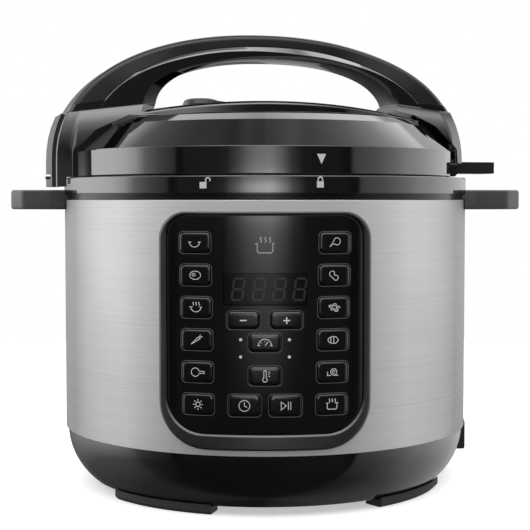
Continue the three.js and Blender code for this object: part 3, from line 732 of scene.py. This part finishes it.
def stroke(points, width):
    """The outline of a line of the given width through (x, z) points."""
    left, right = [], []
    for i, point in enumerate(points):
        p = Vector(point)
        before = (p - Vector(points[i - 1])).normalized() if i else None
        after = (Vector(points[i + 1]) - p).normalized() if i + 1 < len(points) else None
        along = ((before or after) + (after or before)).normalized()
        normal = Vector((-along.y, along.x))
        reach = width / 2
        if before and after:
            reach /= max(0.5, along.dot(after))
        left.append(tuple(p + normal * reach))
        right.append(tuple(p - normal * reach))
    return left + right[::-1]


def arc(x, z, radius, start, end, steps=8, flat=1.0):
    """Points of an arc in degrees from +x, squeezed in z by flat."""
    return [(x + radius * math.cos(math.radians(a)), z + radius * flat * math.sin(math.radians(a)))
            for a in spread(start, end, steps)]


# Seven-segment digits, unlit: segments as (x0, z0, x1, z1) of a digit one wide and two tall.
SEGMENTS = [(0, 2, 1, 2), (0, 1, 1, 1), (0, 0, 1, 0), (0, 0, 0, 1), (0, 1, 0, 2), (1, 0, 1, 1), (1, 1, 1, 2)]
DIGIT_W, DIGIT_H, DIGIT_SLANT, SEGMENT_W = 6.9, 12.6, 0.14, 1.3
DIGIT_X = [-19.6, -7.4, 4.4, 16.4]


def digit_segments():
    base = (WINDOW_LOW + WINDOW_HIGH - DIGIT_H) / 2
    polygons = []
    for left in DIGIT_X:
        for x0, z0, x1, z1 in SEGMENTS:
            a = Vector((left + x0 * DIGIT_W * 0.9, base + z0 * DIGIT_H / 2))
            b = Vector((left + x1 * DIGIT_W * 0.9, base + z1 * DIGIT_H / 2))
            way = (b - a).normalized()
            across = Vector((-way.y, way.x)) * SEGMENT_W / 2
            a, b = a + way * 0.25, b - way * 0.25
            tip = way * SEGMENT_W / 2
            corners = [a, a + tip - across, b - tip - across, b, b - tip + across, a + tip + across]
            polygons.append([(p.x + (p.y - base) * DIGIT_SLANT, p.y) for p in corners])
    for z in (base + 4.0, base + 9.0):
        polygons.append(arc(2.3 + (z - base) * DIGIT_SLANT, z, 0.7, 0, 330, 11))
    segments = strips("digit_segments", polygons, around(0), FACE_R - 0.11, FACE_R - 0.07)
    piece(segments, "segments", "housing", ["led_display"])


# ---- buttons and their pictograms
STEAM = [[(x, 1.2), (x + 0.5, 2.0), (x - 0.1, 2.7), (x + 0.4, 3.4)] for x in (-1.8, 0, 1.8)]
BOWL = [arc(0, 0.4, 3.2, 180, 360, 10, 0.9), [(-3.9, 0.4), (3.9, 0.4)]]
POT = [[(-3, 0.8), (-3, -2.2), (-2.4, -2.8), (2.4, -2.8), (3, -2.2), (3, 0.8)], [(-3.8, 0.8), (3.8, 0.8)]]
CLOCK = [arc(0, 0, 3.2, 0, 360, 20), [(0, 2.1), (0, 0), (1.5, -0.9)]]
THERMOMETER = [[(-0.7, -1), (-0.7, 2.9), (0, 3.4), (0.7, 2.9), (0.7, -1)], arc(0, -2.1, 1.3, 120, 420, 14),
               [(1.9, 2.4), (2.9, 2.4)], [(1.9, 1.2), (2.6, 1.2)], [(1.9, 0), (2.9, 0)]]
GAUGE = [arc(0, -1.4, 3.8, 0, 180, 14), [(-4.4, -1.4), (4.4, -1.4)], [(0, -1.4), (1.9, 0.9)],
         [(-2.4, 0.3), (-1.9, -0.1)], [(0, 1.3), (0, 0.7)]]
CARROT = [[(-3.4, -2.6), (1.2, 1.9), (2.3, 0.8), (-3.4, -2.6)],
          [(1.8, 1.4), (2.5, 3.2)], [(1.8, 1.4), (3.7, 2.2)]]
DRUMSTICK = [arc(0.9, 0.8, 2.1, -140, 130, 14) + [(-2.6, -1.4), (-0.7, -0.6)], [(-2.6, -1.4), (-3.5, -2.4)]]
GRAIN_SPOTS = [(-2.2, 0.9), (0.4, 1.7), (2.4, 0.2), (-1, -0.8), (1.4, -1.6)]
GRAINS = [arc(x, z, 1.1, 0, 360, 10, 0.55) for x, z in GRAIN_SPOTS]
BEAN = [arc(-1.6, 0.8, 1.7, 40, 250, 10) + arc(0.6, -1.5, 1.5, -110, 60, 8) + [(-0.3, 0.1), (-0.3, 1.9)]]
STEAK = [arc(0, 0, 3.4, 0, 360, 18, 0.72), arc(-0.9, 0.3, 1, 0, 360, 10, 0.8)]
CORN = [arc(0, 0, 3.4, 60, 300, 12, 0.6) + [(3.2, 0), (1.7, 1.77)],
        [(-1.6, 1.8), (-1.6, -1.8)], [(0.2, 2), (0.2, -2)]]
PAN = [arc(-1.2, 0, 2.5, 20, 340, 16), [(1.2, 0.6), (4.4, 0.6)], [(1.2, -0.6), (4.4, -0.6), (4.4, 0.6)]]
RAYS = [[(radius * math.cos(a), radius * math.sin(a)) for radius in (2.1, 3.1)]
        for a in [math.pi / 4 * i for i in range(8)]]
SUN = [arc(0, 0, 1.4, 0, 360, 12)] + RAYS
SNAIL = [arc(0.6, 0.2, 1.9, -60, 290, 16), arc(0.6, 0.2, 0.8, 0, 300, 10),
         [(-3.6, -1.9), (3.4, -1.9)], [(-3.2, -1.9), (-3.2, 0.4)]]
MINUS = [[(-2.0, 0), (2.0, 0)]]
PLUS = [[(-2.0, 0), (2.0, 0)], [(0, -2.0), (0, 2.0)]]
PLAY = [[(-2.6, 2.4), (-2.6, -2.4), (0.4, 0), (-2.6, 2.4)], [(1.6, 2.4), (1.6, -2.4)], [(3, 2.4), (3, -2.4)]]
ICONS = [  # in the order of the buttons
    BOWL, STEAK, BOWL + STEAM, CARROT, PAN, SUN,
    DRUMSTICK, BEAN, GRAINS, CORN, SNAIL, POT + STEAM,
    MINUS, PLUS, GAUGE, THERMOMETER, CLOCK, PLAY,
]
LINE, BOLD_LINE = 0.42, 0.75
# A cap's rounded edge as (inwards, down), and the bead round it as (outwards, up from the panel).
CAP_EDGE = [(0, 0.9), (0.18, 0.42), (0.55, 0.18), (1.2, 0.05), (2.2, 0)]
RIM_BEAD = [(0.36, -0.5), (0.36, 0.22), (0.55, 0.3), (0.8, 0.2), (0.86, -0.5)]


def button(node, icon):
    """A button: a cap with a flange behind the panel, a raised rim round it and its picture."""
    azimuth, outline = button_spot(node)
    place = around(azimuth)
    flange = Rounded(
        BUTTON_HALF + BUTTON_FLANGE, outline.low - BUTTON_FLANGE, outline.high + BUTTON_FLANGE, 0.5, middle=8)
    loops = [(flange.loop(), 131.0), (flange.loop(), 132.3), (outline.loop(), 132.3)]
    loops += [(outline.loop(inwards), BUTTON_R - down) for inwards, down in CAP_EDGE]
    piece(plate(f"{node}_cap", loops, place), "button", node, [node])
    bead = [(outline.loop(-out), FACE_R + up) for out, up in RIM_BEAD]
    piece(ring_piece(f"{node}_rim", bead, place), "rim", "housing")
    middle = (outline.low + outline.high) / 2
    width = BOLD_LINE if icon in (MINUS, PLUS) else LINE
    polygons = [stroke([(x, z + middle) for x, z in line], width) for line in icon]
    mark = strips(f"{node}_mark", polygons, place, BUTTON_R - 0.3, BUTTON_R + 0.04)
    piece(mark, "print", node)


bezel()
panel_face()
display_window()
digit_segments()
for node, icon in zip(BUTTONS, ICONS):
    button(node, icon)


# ---- lid
LID_R, LID_BOTTOM, LID_SKIRT_TOP = 125.0, 204.9, 222.0
LID_SHOULDER_R, LID_SHOULDER_Z = 105.0, 239.0
ARCH_A, ARCH_HEIGHT, ARCH_MID, ARCH_BASE, ARCH_HALF = 139.7, 85.0, -3.5, 215.0, 20.0
CAP_A, CAP_HEIGHT, CAP_HALF = 122.0, 77.0, 14.4
SQUARENESS = 2.2
HAND_MID, HAND_BASE, HAND_A, HAND_B = 5.0, 250.0, 83.0, 33.5
VENT = (-31.5, 60.0)
FLOAT = (24.0, 62.0)
PIN_V, PIN_Z, PIN_R = -8.0, 205.0, 1.65


def arch_point(a, height, t):
    """A point (u, z) of the handle's side view, t running from 0 at its right end to 1 at its left."""
    p = 2 / SQUARENESS
    c, s = math.cos(math.pi * t), math.sin(math.pi * t)
    return ARCH_MID + a * math.copysign(abs(c) ** p, c), ARCH_BASE + height * max(0.0, s) ** p


def across_lid(name, outline, half):
    """A side-view outline of the lid carried across it, both ways."""
    return prism(name, outline, -half, half, side, LID_ANGLE)


def lid_point(name, u, v, radius, low, high):
    """A round cutter through the lid at a place of the lid's own frame."""
    return lathe(name, box(0, radius, low, high), 48, centre=(u, v), turn=LID_ANGLE)


SEAM = [(-160, 243.5), (-136, 246), (-83, 252.5), (89, 255), (122, 251), (160, 246.5)]


def below(line, lift=0.0):
    """A cutter for what lies under a line of the side view, raised by lift."""
    (first, _), (last, _) = line[0], line[-1]
    points = [(first, 150), (last, 150)] + [(u, z + lift) for u, z in reversed(line)]
    return across_lid("below", points, 60)


def lid_dome():
    r = LID_R
    section = soften([
        (r - WALL, LID_BOTTOM - 0.05), (r - 0.8, LID_BOTTOM), (r, LID_BOTTOM + 0.8, 0.6),
        (r, LID_SKIRT_TOP, 0.7), (LID_SHOULDER_R, LID_SHOULDER_Z - 0.2, 0.6), (97.2, 242.9, 2),
        (93, 244.1, 8), (60, 245.2, 40), (0, LID_TOP_Z), (0, LID_TOP_Z - WALL), (96, 240.6, 4),
        (LID_SHOULDER_R - 2.2, LID_SHOULDER_Z - 2.2, 2), (r - WALL, LID_SKIRT_TOP - 1.2, 1)], steps=6)
    dome = lathe("lid_shell", section, 256, turn=LID_ANGLE)
    cut(dome, lid_point("vent_hole", *VENT, 7, 200, 260), lid_point("float_hole", *FLOAT, 4.4, 200, 260))
    piece(dome, "gloss", "lid", ["lid_cover"])


SPINE_END, SPINE_HALF, SPINE_TOP, SPINE_FOOT = 104.0, 36.0, 255.0, 243.2
FOOT_STEP = [(1.6, -4.2), (1.6, 1.2), (1.2, 1.6), (0.2, 1.8), (0, 2.2)]
TOP_ROUND = [(0, 2.4), (0.5, 1.5), (3.6, 0.25), (4.6, 0)]


def lid_spine():
    """The long low rib under the hand opening: a lens in plan, with an arched top and a stepped foot."""
    loops = []
    for u in spread(-SPINE_END, SPINE_END, 60):
        half = SPINE_HALF - 19 * (u / SPINE_END) ** 2
        top = SPINE_TOP - u * u / 1100
        edge = [(half + out, SPINE_FOOT + z) for out, z in FOOT_STEP]
        edge += [(half - inwards, top - down) for inwards, down in TOP_ROUND]
        edge = [(v, min(z, top)) for v, z in edge]
        loops.append([(u, -v, z) for v, z in edge] + [(u, v, z) for v, z in reversed(edge)])
    piece(build("lid_spine", *skin(loops), LID_ANGLE), "gloss", "lid", ["lid_cover"], sharp=25)


# Each shoulder's lower end, where its web starts, and its inner edge as (depth below the seam, u).
SHOULDERS = {
    -1: (198.5, 248, [(0, -78), (4.9, -80), (5.9, -96), (13.2, -118), (25.4, -132.4), (60, -133)]),
    1: (215.3, 251, [(0, 88), (4.9, 86), (5.9, 98), (11.1, 113), (25.2, 129), (60, 131)]),
}
SHOULDER_DEPTHS = [
    0.15, 0.5, 1, 1.6, 2.4, 3.4, 4.6, 5.2, 5.9, 7, 8.5, 10, 11.6, 13.2, 15.5, 18, 21, 25.2, 30, 36, 44, 60]
FLARE, FLARE_DEPTH, END_ROUND, END_SLOPE, WEB_HALF = 7.0, 9.0, 2.6, 9.0, 8.0


def along(table, x):
    """The value at x on a line of (x, value) points."""
    for (x0, y0), (x1, y1) in zip(table, table[1:]):
        if x <= x1:
            return y0 + (y1 - y0) * max(0.0, x - x0) / (x1 - x0)
    return table[-1][1]


def arch_u(sign, z):
    """Where the handle's outer outline is at a height."""
    rise = min(1.0, max(0.0, (z - ARCH_BASE) / ARCH_HEIGHT))
    return ARCH_MID + sign * ARCH_A * (1 - rise ** SQUARENESS) ** (1 / SQUARENESS)


def box_cutter(v0, v1, z0, z1):
    """A block along the whole handle, between two widths and two heights."""
    return prism("block", box(v0, v1, z0, z1), -170, 170, endwise, LID_ANGLE)


def ring_clearance():
    """What the shoulders leave free round the housing's ring."""
    return lathe("ring", box(0, RING_R + 4.3, 150, RING_TOP + 0.4))


def shoulder_loops(sign):
    """Level cuts through a shoulder, from the seam down, a little wider each time."""
    end, _, inner_edge = SHOULDERS[sign]
    loops = []
    for depth in SHOULDER_DEPTHS:
        outer = arch_u(sign, along(SEAM, sign * 138) - depth)
        length = abs(outer - along(inner_edge, depth))
        half = ARCH_HALF + FLARE * (1 - math.exp(-depth / FLARE_DEPTH))
        notch = min(9.0, length * 0.3) if depth < 5 and sign < 0 else 0.6
        outline = soften([
            (0, 0), (0, ARCH_HALF - 0.3, 1.2), (END_SLOPE, half, 8), (length - notch, half, 0.4),
            (length, half - notch * 0.7, 0.4), (length, 0)], closed=False, steps=7)
        points = [(outer - sign * x, -v) for x, v in outline]
        points += [(outer - sign * x, v) for x, v in reversed(outline)]
        loops.append([(u, v, max(end, along(SEAM, u) - depth)) for u, v in points])
    return loops


def shoulder(name, sign):
    """One of the two shoulders that carry the handle, and the web that ties it to the lid."""
    body = cut(build(name, *skin(shoulder_loops(sign)), LID_ANGLE), ring_clearance(), lid_pin_hole())
    piece(body, "gloss", "lid", ["lid_cover"], sharp=38).visible_glossy = False
    end, web_top, _ = SHOULDERS[sign]
    outline = [(arch_u(sign, z), z) for z in spread(web_top, end + 2, 30)]
    web = across_lid(f"{name}_web", outline + [(sign * 121, end + 2), (sign * 70, 238)], WEB_HALF)
    cut(web, ring_clearance(), box_cutter(-WEB_HALF - 1, WEB_HALF - 3, 150, LID_SKIRT_TOP + 1))
    piece(web, "gloss", "lid", ["lid_cover"])


def lid_pin_hole():
    outline = [(PIN_V + (PIN_R + GAP) * math.cos(a), PIN_Z + (PIN_R + GAP) * math.sin(a))
               for a in [math.pi / 12 * i for i in range(24)]]
    return prism("pin_hole", outline, -175, -115, endwise, LID_ANGLE)


# ---- handle
def handle_band(name, start, end, steps, inner_at, outer_at, section):
    """A stretch of the handle between two lines of its side view.

    section(t, depth) gives half of the cross-section as (half width, height) points, going up.
    """
    loops = []
    for t in spread(start, end, steps):
        a, b = Vector(inner_at(t)), Vector(outer_at(t))
        depth = (b - a).length
        up = (b - a) / depth
        half = section(t, depth)
        ring = [(-v, h) for v, h in half] + [(v, h) for v, h in reversed(half)]
        loops.append([((a + up * h).x, v, (a + up * h).y) for v, h in ring])
    return build(name, *skin(loops), LID_ANGLE)


def cap_under(grow):
    return lambda t: arch_point(CAP_A + grow, CAP_HEIGHT + grow, t)


def arch_over(t):
    return arch_point(ARCH_A, ARCH_HEIGHT, t)


def hand_at(t):
    """The edge of the hand opening; beyond its ends the line drops steeply into the legs."""
    a = math.pi * min(1, max(0, (t - 0.09) / 0.82))
    c = math.cos(a)
    u = HAND_MID + HAND_A * math.copysign(abs(c) ** 0.9, c)
    z = HAND_BASE + HAND_B * max(0.0, math.sin(a)) ** 0.9
    return u, z - max(0, abs(t - 0.5) - 0.41) * 600


SPREAD_SPAN = (0.12, 0.3)  # distances along the handle from its middle
LEGS = [("handle_leg_right", 0.04, 0.22), ("handle_leg_left", 0.80, 0.96)]
CAP_LINE = [(-170, 244.2), (-115.5, 254.0), (0, 254.0), (112, 256.0), (170, 249)]  # the cap's lower ends


def grip_spread(t):
    """0 over the grip and 1 over the legs, where the cap is as wide as they are."""
    return smoothstep(abs(t - 0.5), *SPREAD_SPAN)


def cap_half(t):
    return CAP_HALF + (ARCH_HALF - CAP_HALF) * grip_spread(t)


def handle_cap():
    """The cap is narrow over the grip and spreads to full width over the legs."""
    def section(t, depth):
        w = cap_half(t)
        return soften([(w - 0.4, 0), (w, 0.4), (w, depth, 4.2), (0, depth)], closed=False, steps=7)[:-1]

    cap = handle_band("handle_top", 0.12, 0.885, 160, cap_under(0), arch_over, section)
    cut(cap, below(CAP_LINE, 0.1))
    piece(cap, "satin", "lid", ["handle_cap"], sharp=40).visible_glossy = False


def handle_arch():
    """The grip's edges are chamfered to a line along its middle; the legs keep flat cheeks."""
    def core_section(t, depth):
        legs = grip_spread(t)
        upper = min(4.8, depth * 0.5) * (1 - legs) + 0.3
        lower = min(3 if t < 0.5 else 3 + 7 * legs, depth * 0.4)
        return soften([(ARCH_HALF - 6, 0, 0.8), (ARCH_HALF, lower, 0.6), (ARCH_HALF, depth - upper, 0.4),
                       (cap_half(t) - 0.3, depth)], closed=False, steps=4)

    def leg_section(t, depth):
        half = ARCH_HALF - 0.02
        return soften([(half, 0), (half, depth, END_ROUND), (0, depth)], closed=False, steps=7)[:-1]

    core = handle_band("handle_body", 0.06, 0.94, 160, hand_at, cap_under(-GAP), core_section)
    cut(core, below(SEAM, GAP / 2))
    piece(core, "gloss", "lid", ["handle_arch"], sharp=28)
    for name, start, end in LEGS:
        leg = handle_band(name, start, end, 40, cap_under(-1.5), arch_over, leg_section)
        combine(leg, [below(CAP_LINE)], "INTERSECT")
        cut(leg, below(SEAM, GAP / 2))
        piece(leg, "gloss", "lid", ["handle_arch"], sharp=28)


LEVER_START, LEVER_LENGTH = 5.0, 18.4


def steam_knob():
    """A round knob on the vent pipe with a short lever."""
    section = soften([
        (0, 252.6), (5.1, 252.6), (5.1, 246.6, 0.5), (9, 246.6, 1), (12.4, 248.4, 2), (13.4, 252, 2),
        (13.2, 258.4, 3), (11.6, 261.4, 2), (8, 262.4, 4), (0, 262.4)], steps=5)
    knob = lathe("pressure_knob", section, SMALL, centre=VENT, turn=LID_ANGLE)
    loops = []
    for i, x in enumerate(spread(0, LEVER_LENGTH, 12)):
        half = 9 * math.sqrt(max(0.02, 1 - (x / 19) ** 3))
        low, high = 256.6 + x * 0.1, 261.2 - x * 0.1
        rim = 0.3 if i == 12 else 0.8
        edge = [(half - rim, low), (half, low + rim), (half, high - rim), (half - rim, high)]
        loops.append([(LEVER_START + x, y, z) for y, z in edge]
                     + [(LEVER_START + x, -y, z) for y, z in reversed(edge)])
    lever = build("lever", *skin(loops))
    spot = Matrix.Rotation(math.radians(LID_ANGLE), 3, "Z") @ Vector((*VENT, 0))
    lever.data.transform(Matrix.Translation(spot * MM))
    piece(fuse(knob, lever), "satin", "steam_valve", ["steam_valve_knob"])


def under_the_lid():
    plate_section = soften([
        (0, 218.8), (60, 215.8, 60), (100, 207.2, 20), (114.9, 206.3), (114.9, 194.5), (116.1, 194.5),
        (116.1, 206.5), (121.9, 206.5, 0.5), (121.9, 207.7, 0.5), (100, 208.5, 20), (60, 217, 60), (0, 220)])
    dish = lathe("pressure_plate", plate_section, turn=LID_ANGLE)
    fuse(dish, *teeth("lug", 115.5, 119, 194.5, 197.5, 5.5, LID_ANGLE))
    cut(dish, lid_point("vent_hole", *VENT, 5, 200, 230), lid_point("float_hole", *FLOAT, 3.4, 200, 230))
    piece(dish, "polished", "lid", ["lid_pressure_plate"])
    seal = soften([
        (108, 196.2, 1.2), (114.4, 196.2, 1.2), (114.4, 205.9, 1.2), (108, 205.9, 0.8),
        (108, 203.4, 0.6), (111.6, 202.6, 1), (111.6, 199.6, 1), (108, 198.8, 0.6)])
    piece(lathe("seal_lip", seal), "silicone", "lid_seal", ["sealing_ring"])
    rack = soften([(104, 201.2, 1.2), (107.4, 201.2, 1.2), (107.4, 206, 1.2), (104, 206, 1.2)])
    piece(lathe("seal_rail", rack), "plated", "lid", ["seal_rack"])
    pipe = soften([
        (1.8, 209.8), (8, 209.8, 0.4), (8, 211.8, 0.4), (4.6, 211.8, 0.4), (4.6, 252, 1.2), (1.8, 252)])
    piece(lathe("vent_tube", pipe, SMALL, centre=VENT, turn=LID_ANGLE), "polished", "lid", ["vent_pipe"])
    pin = soften([(0, 205), (5, 205, 0.6), (5, 207, 0.6), (2.8, 207, 0.4), (2.8, 243.6), (3.8, 243.6, 0.3),
                  (3.8, 245, 0.6), (0, 245)])
    piece(lathe("float_plug", pin, SMALL, centre=FLOAT, turn=LID_ANGLE), "polished", "float_valve",
          ["float_valve_pin"])


def handle_pin():
    section = soften([(0, -149.35), (PIN_R, -149.35, 0.5), (PIN_R, -137.05, 0.3), (0, -137.05)])
    pin = lathe("hinge_pin", section, 32)
    pin.data.transform(Matrix.Rotation(math.radians(90), 4, "Y"))
    pin.data.transform(Matrix.Translation(Vector((0, PIN_V, PIN_Z)) * MM))
    pin.data.transform(Matrix.Rotation(math.radians(LID_ANGLE), 4, "Z"))
    piece(pin, "polished", "lid", ["handle_pin"]).visible_glossy = False


lid_dome()
lid_spine()
shoulder("lid_shoulder_left", -1)
shoulder("lid_shoulder_right", 1)
handle_cap()
handle_arch()
steam_knob()
under_the_lid()
handle_pin()
end_plate = refined("handle_end_cover", "handle_end_plate", 0.5)
piece(end_plate, "satin", "lid", ["handle_end_cover"]).visible_glossy = False
piece(refined("lid_stand_fin", "lid_fin", 0.5), "satin", "lid", ["lid_stand_fin"])
piece(refined("anti_block_shield", "vent_cage", 0.25), "plated", "lid", ["anti_block_shield"])


# ---- printed marks
def printed(name, polygons, azimuth, radius, z, body, finish="print"):
    """Print on a round surface, given as polygons about its middle."""
    placed = [[(x, h + z) for x, h in polygon] for polygon in polygons]
    piece(strips(name, placed, around(azimuth), radius - 0.05, radius + 0.05), finish, body)


PADLOCK_BODY = box(-2.1, 2.1, -2.8, 0.9)
SHACKLE = stroke([(-1.3, 0.8), (-1.3, 2.0)] + arc(0, 2.1, 1.3, 180, 0, 10) + [(1.3, 0.8)], 0.75)
OPEN_SHACKLE = stroke([(1.6, 0.8), (1.6, 2.0)] + arc(2.9, 2.1, 1.3, 180, 0, 10) + [(4.2, 1.3)], 0.75)
STEAM_POT = [stroke([(x * 1.5, z * 1.5) for x, z in line], 0.7) for line in POT + STEAM]

printed("align_mark", [[(2.8, 2.9), (0, -3.2), (-2.8, 2.9)]], 15.5, LID_R, 214.3, "lid")
printed("locked_mark", [PADLOCK_BODY, SHACKLE], 13.8, RING_R, 200.0, "housing")
printed("unlocked_mark", [PADLOCK_BODY, OPEN_SHACKLE], -15.5, RING_R, 199.6, "housing")
printed("pot_mark", STEAM_POT, 0, FACE_R, 163.5, "housing", "pale_print")
for x in (-14.2, 14.2):
    for z in (108.6, 98.5):
        name = f"level_{'low' if x > 0 else 'high'}_{round(z)}"
        dots = [arc(0, 0, 0.9, 0, 345, 23)]
        printed(name, dots, math.degrees(math.asin(x / FACE_R)), FACE_R, z, "housing")


# ---- floor, light and camera
TABLE_EDGE, TABLE_ROLL = -146.0, 10.0


def floor():
    """A pale table whose front edge is just below the picture, rolled over and running down."""
    middle = TABLE_EDGE + TABLE_ROLL
    line = [(900, 0), (middle, 0)]
    for a in spread(0.1, math.pi / 2, 8):
        line.append((middle - TABLE_ROLL * math.sin(a), -TABLE_ROLL * (1 - math.cos(a))))
    line = [(y, z - 0.05) for y, z in line + [(TABLE_EDGE, -400)]]
    under = [(y + 4, z - 4) for y, z in reversed(line)]
    sheet = prism("floor", line + under, -900, 900, endwise)
    n = Nodes("floor")
    n.set(Base_Color=n.tint(n.noise(3), (0.84, 0.84, 0.84), (0.88, 0.88, 0.88)), Roughness=0.7,
          Emission_Color=(1, 1, 1, 1), Emission_Strength=0.45)
    n.bump(n.noise(400), 0.01)
    sheet.data.shade_smooth()
    sheet.data.set_sharp_from_angle(angle=math.radians(30))
    sheet.data.materials.append(n.material)
    sheet.visible_glossy = False


class Sky(Tree):
    """A studio as the world: soft panels all round and above, by direction."""

    def __init__(self):
        bpy.context.scene.world = bpy.data.worlds.new("studio")
        super().__init__(bpy.context.scene.world)
        self.tree.nodes.clear()
        direction = self.add("ShaderNodeTexCoord").outputs["Generated"]
        self.axes = self.add("ShaderNodeSeparateXYZ", Vector=direction).outputs

    def math(self, operation, *values):
        node = self.add("ShaderNodeMath", {"operation": operation})
        for socket, value in zip(node.inputs, values):
            self.put(socket, value)
        return node.outputs[0]

    def azimuth(self):
        """Degrees from the front (-Y) towards +X, as 0 to 1 for -180 to 180."""
        back = self.math("MULTIPLY", self.axes["Y"], -1.0)
        angle = self.math("ARCTAN2", self.axes["X"], back)
        return self.math("MULTIPLY_ADD", angle, 1 / (2 * math.pi), 0.5)

    def elevation(self):
        """Degrees above the horizon, as 0 to 1 for -90 to 90."""
        angle = self.math("ARCSINE", self.axes["Z"])
        return self.math("MULTIPLY_ADD", angle, 1 / math.pi, 0.5)

    def profile(self, position, stops):
        """Brightness along a line of (degrees, brightness) stops."""
        low, high = stops[0][0], stops[-1][0]
        node = self.add("ShaderNodeValToRGB", Fac=position)
        ramp = node.color_ramp
        while len(ramp.elements) < len(stops):
            ramp.elements.new(0.5)
        for element, (degrees, _) in zip(ramp.elements, stops):
            element.position = (degrees - low) / (high - low)
        for element, (_, bright) in zip(ramp.elements, stops):
            element.color = (bright, bright, bright, 1)
        return node.outputs["Color"]


LEFT_LIGHT = [
    (-180, 0.15), (-166, 0.3), (-150, 0.8), (-135, 1.6), (-120, 2.4), (-105, 2.95), (-93, 2.95),
    (-84, 2.3), (-76, 0.9), (-66, 0.44), (-59, 0.28), (-55, 0.18), (-53.5, 0.01), (-50, 0.01),
    (-48, 0.06), (0, 0.06), (20, 0), (180, 0)]
RIGHT_LIGHT = [
    (-180, 0), (0, 0), (20, 0.04), (46, 0.04), (48, 0.01), (52, 0.01), (54, 0.38), (70, 0.63),
    (85, 1.1), (95, 1.5), (118, 1.75), (132, 1.6), (150, 1.2), (164, 0.7), (180, 0.4)]
LEFT_HEIGHT = [
    (-90, 0.02), (-50, 0.03), (-25, 0.12), (-3, 0.6), (0, 1), (25, 1), (44, 0.37), (55, 0.2),
    (63, 0.13), (90, 0.15)]
RIGHT_HEIGHT = [
    (-90, 0.05), (-50, 0.15), (-25, 0.5), (-3, 1.0), (0, 1), (25, 1), (44, 0.9), (58, 0.42),
    (68, 0.25), (80, 0.2), (90, 0.2)]
FRONT_LIGHT = [
    (-180, 0), (-30, 0), (-22, 0.04), (-15, 0.42), (-9, 1.1), (-3, 1.5), (3, 1.65), (8, 1.1),
    (15, 0.25), (22, 0.02), (30, 0), (180, 0)]
FRONT_HEIGHT = [
    (-90, 0), (-9, 0), (-5.5, 0.25), (-3, 0.4), (-1.2, 0.75), (-0.4, 1.0), (0.2, 2.6), (0.8, 2.6),
    (1.3, 0.85), (12, 0.85), (28, 0.5), (40, 0), (90, 0)]
TOP_WIDTH = [(-180, 0), (-80, 0), (-50, 1), (50, 1), (80, 0), (180, 0)]
TOP_LIGHT = [(-90, 0), (7, 0), (20, 0.4), (35, 1.3), (50, 2.8), (62, 3.4), (74, 3.4), (82, 0.8), (90, 0.3)]
BACK_WIDTH = [(-180, 1), (-160, 1), (-150, 0), (144, 0), (151, 1), (180, 1)]
BACK_LIGHT = [(-90, 0), (34, 0), (42, 0.4), (66, 0.4), (70, 0.2), (90, 0.1)]
RIM_WIDTH = [(-180, 1), (-152, 1), (-142, 0), (142, 0), (152, 1), (180, 1)]
RIM_LIGHT = [(-90, 0), (28, 0), (32, 1.2), (51, 1.2), (55, 0), (90, 0)]


def light():
    sky = Sky()
    azimuth, elevation = sky.azimuth(), sky.elevation()
    pairs = [(LEFT_LIGHT, LEFT_HEIGHT), (RIGHT_LIGHT, RIGHT_HEIGHT), (FRONT_LIGHT, FRONT_HEIGHT),
             (TOP_WIDTH, TOP_LIGHT), (BACK_WIDTH, BACK_LIGHT), (RIM_WIDTH, RIM_LIGHT)]
    total = 0.02
    for across, upright in pairs:
        lit = sky.math("MULTIPLY", sky.profile(azimuth, across), sky.profile(elevation, upright))
        total = sky.math("ADD", lit, total)
    studio = sky.add("ShaderNodeBackground", Color=(1, 1, 1, 1), Strength=total)
    paper = sky.add("ShaderNodeBackground", Color=(1, 1, 1, 1), Strength=1.0)
    seen = sky.add("ShaderNodeLightPath").outputs["Is Camera Ray"]
    mixed = sky.add("ShaderNodeMixShader", Fac=seen)
    sky.put(mixed.inputs[1], studio.outputs[0])
    sky.put(mixed.inputs[2], paper.outputs[0])
    sky.add("ShaderNodeOutputWorld", Surface=mixed.outputs[0])


CAMERA_DISTANCE, CAMERA_HEIGHT, CAMERA_DIP = 905.0, 190.0, 2.81


def camera():
    data = bpy.data.cameras.new("camera")
    data.lens, data.sensor_width = 90, 36
    data.clip_start, data.clip_end = 0.05, 20
    obj = linked("camera", data)
    obj.location = (0, -CAMERA_DISTANCE * MM, CAMERA_HEIGHT * MM)
    obj.rotation_euler = (math.radians(90 - CAMERA_DIP), 0, 0)
    bpy.context.scene.camera = obj


floor()
light()
camera()
bpy.context.scene.view_settings.view_transform = "Standard"
